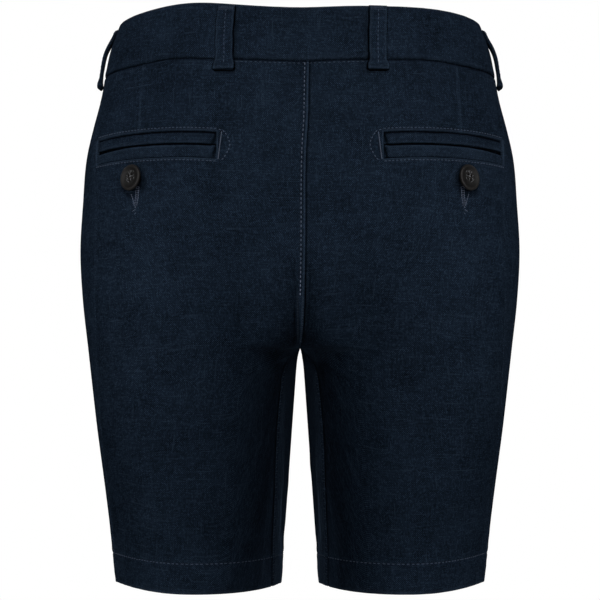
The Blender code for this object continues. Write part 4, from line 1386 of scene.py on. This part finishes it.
# %% Stitches on a path
STITCH_STATIONS = np.linspace(0.0, 1.0, 5)
STITCH_ARCH = np.array([-0.9, 0.55, 0.95, 0.55, -0.9])
STITCH_TAPER = np.array([0.6, 0.95, 1.0, 0.95, 0.6])
STITCH_SIDES = 6

ALONE = 9.0
Stitch = namedtuple("Stitch", "pitch length radius")
STITCHES = {
    "seat": Stitch(2.62, 1.55, 0.31), "seat foot": Stitch(1.9, 0.9, 0.17),
    "fly": Stitch(2.6, 1.75, 0.20), "hem": Stitch(2.85, 2.0, 0.22),
    "pocket": Stitch(2.3, 1.5, 0.24), "pocket end": Stitch(2.3, 1.2, 0.19),
    "pocket bar": Stitch(1.05, 1.3, 0.27), "waist": Stitch(2.75, 1.6, 0.16),
    "loop": Stitch(2.5, 1.65, 0.18), "loop bar": Stitch(0.95, 1.15, 0.16),
    "rail": Stitch(1.45, 1.3, 0.15), "waist hole": Stitch(ALONE, 1.1, 0.19),
}


class Cloth:
    """Finished pieces of cloth that paths can be dropped onto."""

    def __init__(self, *pieces):
        points, faces = [], []
        for piece in pieces:
            faces += [[i + len(points) for i in face.vertices] for face in piece.data.polygons]
            points += [vertex.co / MM for vertex in piece.data.vertices]
        self.tree = BVHTree.FromPolygons(points, faces)

    def follow(self, points, normals, reach=4.0):
        """The places on the cloth under these points."""
        found = []
        for point, normal in zip(points, normals):
            start = Vector(point + normal * reach)
            hit = self.tree.ray_cast(start, Vector(-normal), 2 * reach)[0]
            found.append(point if hit is None else np.array(hit))
        return np.array(found)

    def run(self, path, kind):
        """A run of stitches of a kind along a path, laid on the cloth."""
        return self.follow(*path), path[1], *STITCHES[kind]

    def strand(self, path, share, radius):
        """A single thread along this share of a path, laid on the cloth."""
        points = self.follow(*path)
        return points, path[1], ALONE, float(lengths_along(points, 0)[-1]) * share, radius


def form_path(shares, heights, side):
    """Points and normals of the form on one side of the body."""
    shares, heights = np.broadcast_arrays(shares, heights)
    return mirrored(form(shares, heights), side), mirrored(outward(shares, heights), side)


def path_at(xs, heights, side, front=False):
    """form_path through places that are given by their distance from the centre line."""
    return form_path(shares_at(xs, heights, front), heights, side)


def stitches(points, normals, pitch, length, radius):
    """Points and faces of the stitches along a path."""
    run = lengths_along(points, 0)
    count = max(int((run[-1] - length) / pitch) + 1, 1)
    order = np.arange(count)
    starts = order * pitch + 0.05 * pitch * np.sin(order * 2.4)
    at = starts[:, None] + length * (1.0 + 0.06 * np.sin(order * 1.7))[:, None] * STITCH_STATIONS
    middle = np.stack([np.interp(at, run, points[:, k]) for k in range(3)], -1)
    up = unit(np.stack([np.interp(at, run, normals[:, k]) for k in range(3)], -1))
    middle = middle + up * (STITCH_ARCH * radius)[:, None]
    ahead = unit(np.gradient(middle, axis=1))
    aside = unit(np.cross(up, ahead))
    up = np.cross(ahead, aside)
    turn = np.arange(STITCH_SIDES) * 2 * math.pi / STITCH_SIDES
    wide = (radius * STITCH_TAPER)[None, :, None, None]
    ring = np.cos(turn)[:, None] * aside[..., None, :] + np.sin(turn)[:, None] * up[..., None, :]
    rings = middle[..., None, :] + wide * ring
    stations, sides = len(STITCH_STATIONS), STITCH_SIDES
    index = np.arange(stations * sides).reshape(stations, sides)
    a, b = index[:-1], index[1:]
    tube = np.stack([a, np.roll(a, -1, 1), np.roll(b, -1, 1), b], -1).reshape(-1, 4)
    caps = [[0, 3, 2, 1], [0, 5, 4, 3]]
    far = [[i + index[-1, 0] for i in cap[::-1]] for cap in caps]
    one = np.concatenate([tube, caps, far])
    faces = one[None] + (order * stations * sides)[:, None, None]
    return rings.reshape(-1, 3), faces.reshape(-1, 4)


def sew(name, runs, colour="seam"):
    """One piece from runs of (points, normals, pitch, length, radius)."""
    points, faces, total = [], [], 0
    for run in runs:
        run_points, run_faces = stitches(*run)
        faces.append(run_faces + total)
        points.append(run_points)
        total += len(run_points)
    piece = mesh_object(name, np.concatenate(points), np.concatenate(faces), threads[colour])
    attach(piece, "root")
    print(f"{name}: {total // (len(STITCH_STATIONS) * STITCH_SIDES)} stitches")


back_cloth = Cloth(panels["back", -1], panels["back", 1])
front_cloth = Cloth(panels["front", -1], panels["front", 1])
band_cloth = Cloth(band)

# %% [markdown]
# The seat seam and the fly are topstitched through the fold that laps over. The inseams show the
# teeth of their overlocked edge, and each hem is sewn all round a finger's width above its edge.

# %% Sew the long seams
SEAMS_START = -17.0
FLY_WIDTH = 29.0
FLY_BENDS = -79.0
FLY_FOOT = Overlap(-100.0, 3.0)
TEETH_PITCH = 2.05


def seat_path(aside, heights):
    """A line beside the centre seam, on the cloth of the seat."""
    shares = np.copysign(shares_at(np.abs(aside), heights), aside)
    points, normals = form_path(shares, heights, 1)
    return points, unit(normals * np.array([0.0, 1.0, 1.0]))


heights = np.linspace(SEAMS_START, -144.0, 240)
over = smooth_curve(SEAT_SEAM, "across", heights)
sew("stitches_seat_seam", [back_cloth.run(seat_path(over - 2.45, heights), "seat")])
heights = np.linspace(-145.0, -170.0, 60)
over = smooth_curve(SEAT_SEAM, "across", heights)
rows = [seat_path(aside, heights) for aside in (over - 0.7, np.full(60, -1.2))]
sew("stitches_seat_foot", [back_cloth.run(row, "seat foot") for row in rows], "faint")

heights = np.linspace(SEAMS_START, -172.0, 240)
over = smooth_curve(FLY_EDGE, "across", heights)
edge_row = path_at(np.maximum(over - 1.4, 0.0), heights, 1, True)
bend = np.linspace(0.0, math.pi / 2, 30)
curve_x = FLY_FOOT.across + (FLY_WIDTH - FLY_FOOT.across) * np.cos(bend)
curve_h = FLY_BENDS + (FLY_FOOT.height - FLY_BENDS) * np.sin(bend)
curve_x = np.concatenate([np.full(60, FLY_WIDTH), curve_x])
curve_h = np.concatenate([np.linspace(SEAMS_START, FLY_BENDS, 60), curve_h])
curved_row = path_at(curve_x, curve_h, -1, True)
sew("stitches_fly", [front_cloth.run(row, "fly") for row in (edge_row, curved_row)])

for side, side_name in SIDES:
    teeth = []
    for order, below in enumerate(np.arange(14.0, 138.0, TEETH_PITCH)):
        below = below + 0.45 * math.sin(order * 1.9 + side)
        inseam = float(smooth_curve(INSEAM, "share", below))
        reach = 0.0034 + 0.0026 * math.sin(order * 2.3)
        shares = 1.0 + inseam + np.linspace(0.0006, -reach, 5)
        path = form_path(shares, CROTCH - below + np.linspace(-0.2, 0.2, 5), side)
        teeth.append(front_cloth.strand(path, 0.95, 0.16))
    sew(f"stitches_inseam_{side_name}", teeth, "inseam")

    runs = []
    edge = float(smooth_curve(SIDE_SEAM, "share", HEM_TOP))
    start = float(smooth_curve(INSEAM, "share", CROTCH - HEM_TOP))
    for cloth, first, last in ((back_cloth, start, edge), (front_cloth, edge, 1.0 + start)):
        path = form_path(np.linspace(first + 0.003, last - 0.003, 150), HEM_TOP, side)
        runs.append(cloth.run(path, "hem"))
    sew(f"stitches_hem_{side_name}", runs, "soft")

# %% [markdown]
# Round each pocket a row runs along the upper edge, turns in a D past the inner end and comes
# back under the lower edge. A bar of close satin stitches locks the inner end.

# %% Sew round the pockets
def pocket_line(base, offset, along):
    """Shares and heights of a line beside the pocket's edge, from its inner to its outer end."""
    start = share_at_x(POCKET_INNER, base)
    end = float(smooth_curve(SIDE_SEAM, "share", base)) - POCKET_TO_SIDE_SEAM
    return start + (end - start) * along, base + offset + pocket_bow(along)


POCKET_ROW_OFFSETS = ((POCKET_TOP, 1.5), (POCKET_FOOT, -1.4))
D_SHAPE = np.array([
    (46.0, -54.7), (43.3, -55.6), (41.6, -57.6), (40.3, -60.0), (39.6, -62.3),
    (40.3, -65.0), (41.9, -67.6), (43.6, -69.9), (46.0, -71.0),
])
fine = np.linspace(0, len(D_SHAPE) - 1, 60)
d_line = [np.interp(fine, np.arange(len(D_SHAPE)), D_SHAPE[:, k]) for k in (0, 1)]
bar_line = np.linspace(44.4, 46.3, 34), np.linspace(-55.9, -70.3, 34)
for side, side_name in SIDES:
    runs = []
    for base, offset in POCKET_ROW_OFFSETS:
        path = form_path(*pocket_line(base, offset, np.linspace(0.0, 1.0, 90)), side)
        runs.append(back_cloth.run(path, "pocket"))
    sew(f"stitches_pocket_{side_name}", runs, "soft")
    runs = [
        back_cloth.run(path_at(*line, side), kind)
        for line, kind in ((d_line, "pocket end"), (bar_line, "pocket bar"))
    ]
    sew(f"bar_pocket_{side_name}", runs)

# %% [markdown]
# A faint row holds the seam of the band between the belt loops. Each loop has a row down its
# middle and a bar at its top.

# %% Sew the band and the loops
WAIST_ROW = BAND_FOOT - 1.35
BARS_DOWN = (0.022, 0.044, 0.066)

runs = []
for cloth, reach, is_front in ((back_cloth, 37.0, False), (front_cloth, 46.0, True)):
    xs = np.linspace(-reach, reach, 150)
    path = path_at(np.abs(xs), WAIST_ROW, 1, is_front)
    for vectors in path:
        vectors[:, 0] = np.abs(vectors[:, 0]) * np.sign(xs)
    runs.append(cloth.run(path, "waist"))
sew("stitches_waist_seam", runs, "soft")

for loop in LOOPS:
    surface = Cloth(loops[loop.name])
    middle, under = loop_grid(loop, np.linspace(0.06, 0.93, 60), np.array([-0.06, 0.0, 0.06]))
    runs = [surface.run((middle[:, 1], unit(middle[:, 1] - under[:, 1])), "loop")]
    for at in BARS_DOWN:
        bar, under = loop_grid(loop, np.array([at, at + 0.001]), np.linspace(-0.78, 0.78, 20))
        runs.append(surface.run((bar[0], unit(bar[0] - under[0])), "loop bar"))
    sew(f"stitches_loop_{loop.name}", runs, "soft")

# %% [markdown]
# ## Buttons and buttonholes
#
# A button is a turned shape: an outline is spun round its axis and four holes are drilled. The
# pocket buttons stay fastened, so only the foot of each buttonhole shows below the rim, as two
# lines of close satin stitches that meet in a bar. Thread crosses from hole to hole.

# %% Make a button
ButtonPoint = namedtuple("ButtonPoint", "radius height")
BUTTON_OUTLINE = rows_of(ButtonPoint, [
    (0.0, 1.75), (2.8, 1.72), (4.4, 1.80), (5.2, 1.98), (5.75, 2.32), (6.15, 2.54), (6.6, 2.60),
    (7.05, 2.50), (7.38, 2.22), (7.57, 1.80), (7.60, 1.40), (7.42, 0.90), (6.90, 0.42),
    (6.0, 0.12), (0.0, 0.05),
])
HOLE_RADIUS = 0.74
HOLE_SPACING = 1.28
PIN_SIDES = 20
BUTTON_SEAT = 0.45
POCKET_BUTTON_FACES = unit(np.array([0.60, -0.78, 0.17]))
POCKET_BUTTON_SEAT = 1.0
POCKET_BUTTON_TURN = 0.27


def pins():
    """The four pins that drill a button, as one mesh."""
    turn = np.arange(PIN_SIDES) * 2 * math.pi / PIN_SIDES
    points, faces = [], []
    for dx, dy in ((-1, -1), (-1, 1), (1, -1), (1, 1)):
        low = [len(points) + i for i in range(PIN_SIDES)]
        high = [i + PIN_SIDES for i in low]
        xs = dx * HOLE_SPACING + HOLE_RADIUS * np.cos(turn)
        ys = dy * HOLE_SPACING + HOLE_RADIUS * np.sin(turn)
        for height in (-3.0, 6.0):
            points += [(x, y, height) for x, y in zip(xs, ys)]
        faces += [low[::-1], high]
        faces += zip(low, low[1:] + low[:1], high[1:] + high[:1], high)
    mesh = bpy.data.meshes.new("pins")
    mesh.from_pydata([Vector(p) * MM for p in points], [], faces)
    return placed("pins", mesh)


def turned_button():
    """A button's mesh, with its back at the origin and its face towards +Z."""
    outline = bpy.data.meshes.new("outline")
    points = [(p.radius * MM, 0.0, p.height * MM) for p in BUTTON_OUTLINE]
    outline.from_pydata(points, [(i, i + 1) for i in range(len(points) - 1)], [])
    button, drill = placed("turning", outline), pins()
    screw = button.modifiers.new("turned", "SCREW")
    screw.steps = screw.render_steps = 64
    screw.use_merge_vertices = True
    screw.merge_threshold = 0.01 * MM
    drilled = button.modifiers.new("drilled", "BOOLEAN")
    drilled.operation = "DIFFERENCE"
    drilled.object = drill
    softened = button.modifiers.new("softened", "BEVEL")
    softened.width = 0.12 * MM
    softened.segments = 2
    softened.angle_limit = math.radians(50.0)
    evaluated = button.evaluated_get(bpy.context.evaluated_depsgraph_get())
    mesh = bpy.data.meshes.new_from_object(evaluated)
    for thing in (button, drill):
        bpy.data.objects.remove(thing)
    mesh.shade_smooth()
    mesh.set_sharp_from_angle(angle=math.radians(45.0))
    return mesh


button_mesh = turned_button()
print("button faces:", len(button_mesh.polygons))

# %% Place the buttons
Button = namedtuple("Button", "name side x height lean")
BUTTONS = [
    Button("pocket_button_left", -1, 95.5, -78.6, 0.06),
    Button("pocket_button_right", 1, 95.5, -78.6, 0.06),
    Button("waist_button", 1, 0.0, 0.0, 0.0),
]


def button_place(spec):
    """The point under a button and the direction that its face looks in."""
    if spec.name == "waist_button":
        turn, level = np.array(math.pi), np.array(0.0)
        points = [band_points(turn, level, np.array(v)) for v in (BAND_PROUD, BAND_PROUD + 1.0)]
        return points[0], unit(points[1] - points[0])
    point = path_at(np.array([spec.x]), np.array([spec.height]), spec.side)[0][0]
    return point, mirrored(POCKET_BUTTON_FACES, spec.side)


STRANDS = [
    (-2.1, 3.6, -1.2, 2.3), (-0.6, 4.1, -0.1, 2.7), (0.3, 4.2, 0.6, 3.0), (1.7, 4.1, 2.5, 3.1),
    (-3.1, 1.2, -2.0, 0.7), (-3.2, -0.9, -0.9, -2.7), (-2.9, -1.3, -0.5, -2.9),
    (-2.7, 0.0, -1.3, -1.4), (2.4, 1.6, 2.3, 0.4), (3.1, 0.0, 2.5, -1.4), (-0.7, 0.5, 1.1, 1.0),
    (-0.9, 0.2, 0.9, 0.7), (0.4, -0.5, 0.8, -1.9), (-0.5, 2.6, -0.2, 0.8),
]
STRAND_HEIGHT = 1.86
STRAND_RADIUS = 0.12

for spec in BUTTONS:
    point, normal = button_place(spec)
    turned = Vector(normal).to_track_quat("Z", "Y").to_matrix().to_4x4()
    lean = Matrix.Rotation(spec.lean * spec.side, 4, "Y")
    if spec.name != "waist_button":
        lean = lean @ Matrix.Rotation(-POCKET_BUTTON_TURN * spec.side, 4, "Z")
    seat = BUTTON_SEAT if spec.name == "waist_button" else POCKET_BUTTON_SEAT
    place = Matrix.Translation(Vector(point + normal * seat) * MM) @ turned @ lean
    mesh = button_mesh.copy()
    mesh.transform(place)
    mesh.materials.clear()
    mesh.materials.append(horn)
    stands_for(placed(f"horn_{spec.name}", mesh), spec.name)

    axes = np.array(place.to_3x3())
    origin = np.array(place.translation) / MM
    runs = []
    for order, (x0, y0, x1, y1) in enumerate(STRANDS):
        ends = np.array([(x0, y0), (x1, y1)]) * np.array([-spec.side, 1.0])
        ends = ends @ np.array(Matrix.Rotation(POCKET_BUTTON_TURN * spec.side, 2)).T
        flat = ends[0] + (ends[1] - ends[0]) * np.linspace(0.0, 1.0, 9)[:, None]
        local = np.concatenate([flat, np.full((9, 1), STRAND_HEIGHT + 0.02 * (order % 3))], 1)
        path = origin + local @ axes.T
        length = float(lengths_along(path, 0)[-1])
        out = np.broadcast_to(axes[:, 2], path.shape)
        runs.append((path, out, ALONE, length, STRAND_RADIUS))
    sew(f"thread_{spec.name}", runs, "button")
print("buttons placed:", len(BUTTONS))

# %% Work the buttonholes
SATIN_PITCH = 0.95
OUTER_ARM = ((96.9, -87.2), (94.6, -94.3))
INNER_ARM = ((92.9, -83.2), (93.9, -93.0))
MEETING = ((94.4, -94.0), (94.5, -95.6))
BAR = ((95.3, -96.0), (94.1, -97.6))


def satin(ends, width, side):
    """Close stitches across a line between two places (x, height) of the form."""
    (x0, h0), (x1, h1) = ends
    count = max(int(math.hypot(x1 - x0, h1 - h0) / SATIN_PITCH), 2)
    runs = []
    cross = Vector((h1 - h0, x0 - x1)).normalized() * width / 2
    for order, t in enumerate(np.linspace(0.0, 1.0, count)):
        x, h = x0 + (x1 - x0) * t, h0 + (h1 - h0) * t
        reach = cross * (1.0 + 0.22 * math.sin(order * 2.7 + width))
        xs = np.linspace(x - reach.x, x + reach.x, 6) + 0.14 * math.sin(order * 1.9)
        hs = np.linspace(h - reach.y, h + reach.y, 6)
        radius = 0.15 + 0.035 * math.sin(order * 3.3)
        runs.append(back_cloth.strand(path_at(xs, hs, side), 0.94, radius))
    return runs


def rail(ends, aside, side):
    """A rail of thread beside a line between two places of the form."""
    (x0, h0), (x1, h1) = ends
    t = np.linspace(0.0, 1.0, 24)
    xs = x0 + (x1 - x0) * t + aside + 0.12 * np.sin(t * 9.0)
    hs = h0 + (h1 - h0) * t
    return back_cloth.run(path_at(xs, hs, side), "rail")


for side, side_name in SIDES:
    runs = satin(OUTER_ARM, 0.9, side) + satin(INNER_ARM, 1.9, side)
    runs += [rail(INNER_ARM, -0.85, side), rail(INNER_ARM, 0.85, side), rail(OUTER_ARM, 0.0, side)]
    runs += satin(MEETING, 1.3, side) + satin(BAR, 1.7, side)
    sew(f"buttonhole_{side_name}", runs, "hole")

runs = []
for level in (-0.75, 0.75):
    for turn in np.linspace(math.pi + 0.12, math.pi + 0.045, 18):
        levels = np.linspace(level - 0.6, level + 0.6, 6)
        turns = np.full(6, turn)
        base, raised = (
            band_points(turns, levels, np.full(6, v)) for v in (BAND_PROUD, BAND_PROUD + 1.0)
        )
        runs.append(band_cloth.run((base, unit(raised - base)), "waist hole"))
sew("buttonhole_waist", runs)

# %% [markdown]
# ## What the panels and welts were cut from
#
# The flat size of each panel and welt is given here: a panel is cut as a curved quarter of the
# garment, so its area is given as well. The waistband and the loops are folded strips.

for (face, side), panel in panels.items():
    flat, area = ((0.197, 0.303), 0.0412) if face == "back" else ((0.259, 0.303), 0.0647)
for name, piece in welts.items():
    place, _, side_name = name.partition("_")
    flat, area = {"upper": ((0.088, 0.011), 0.00082), "lower": ((0.088, 0.016), 0.00126)}[place]
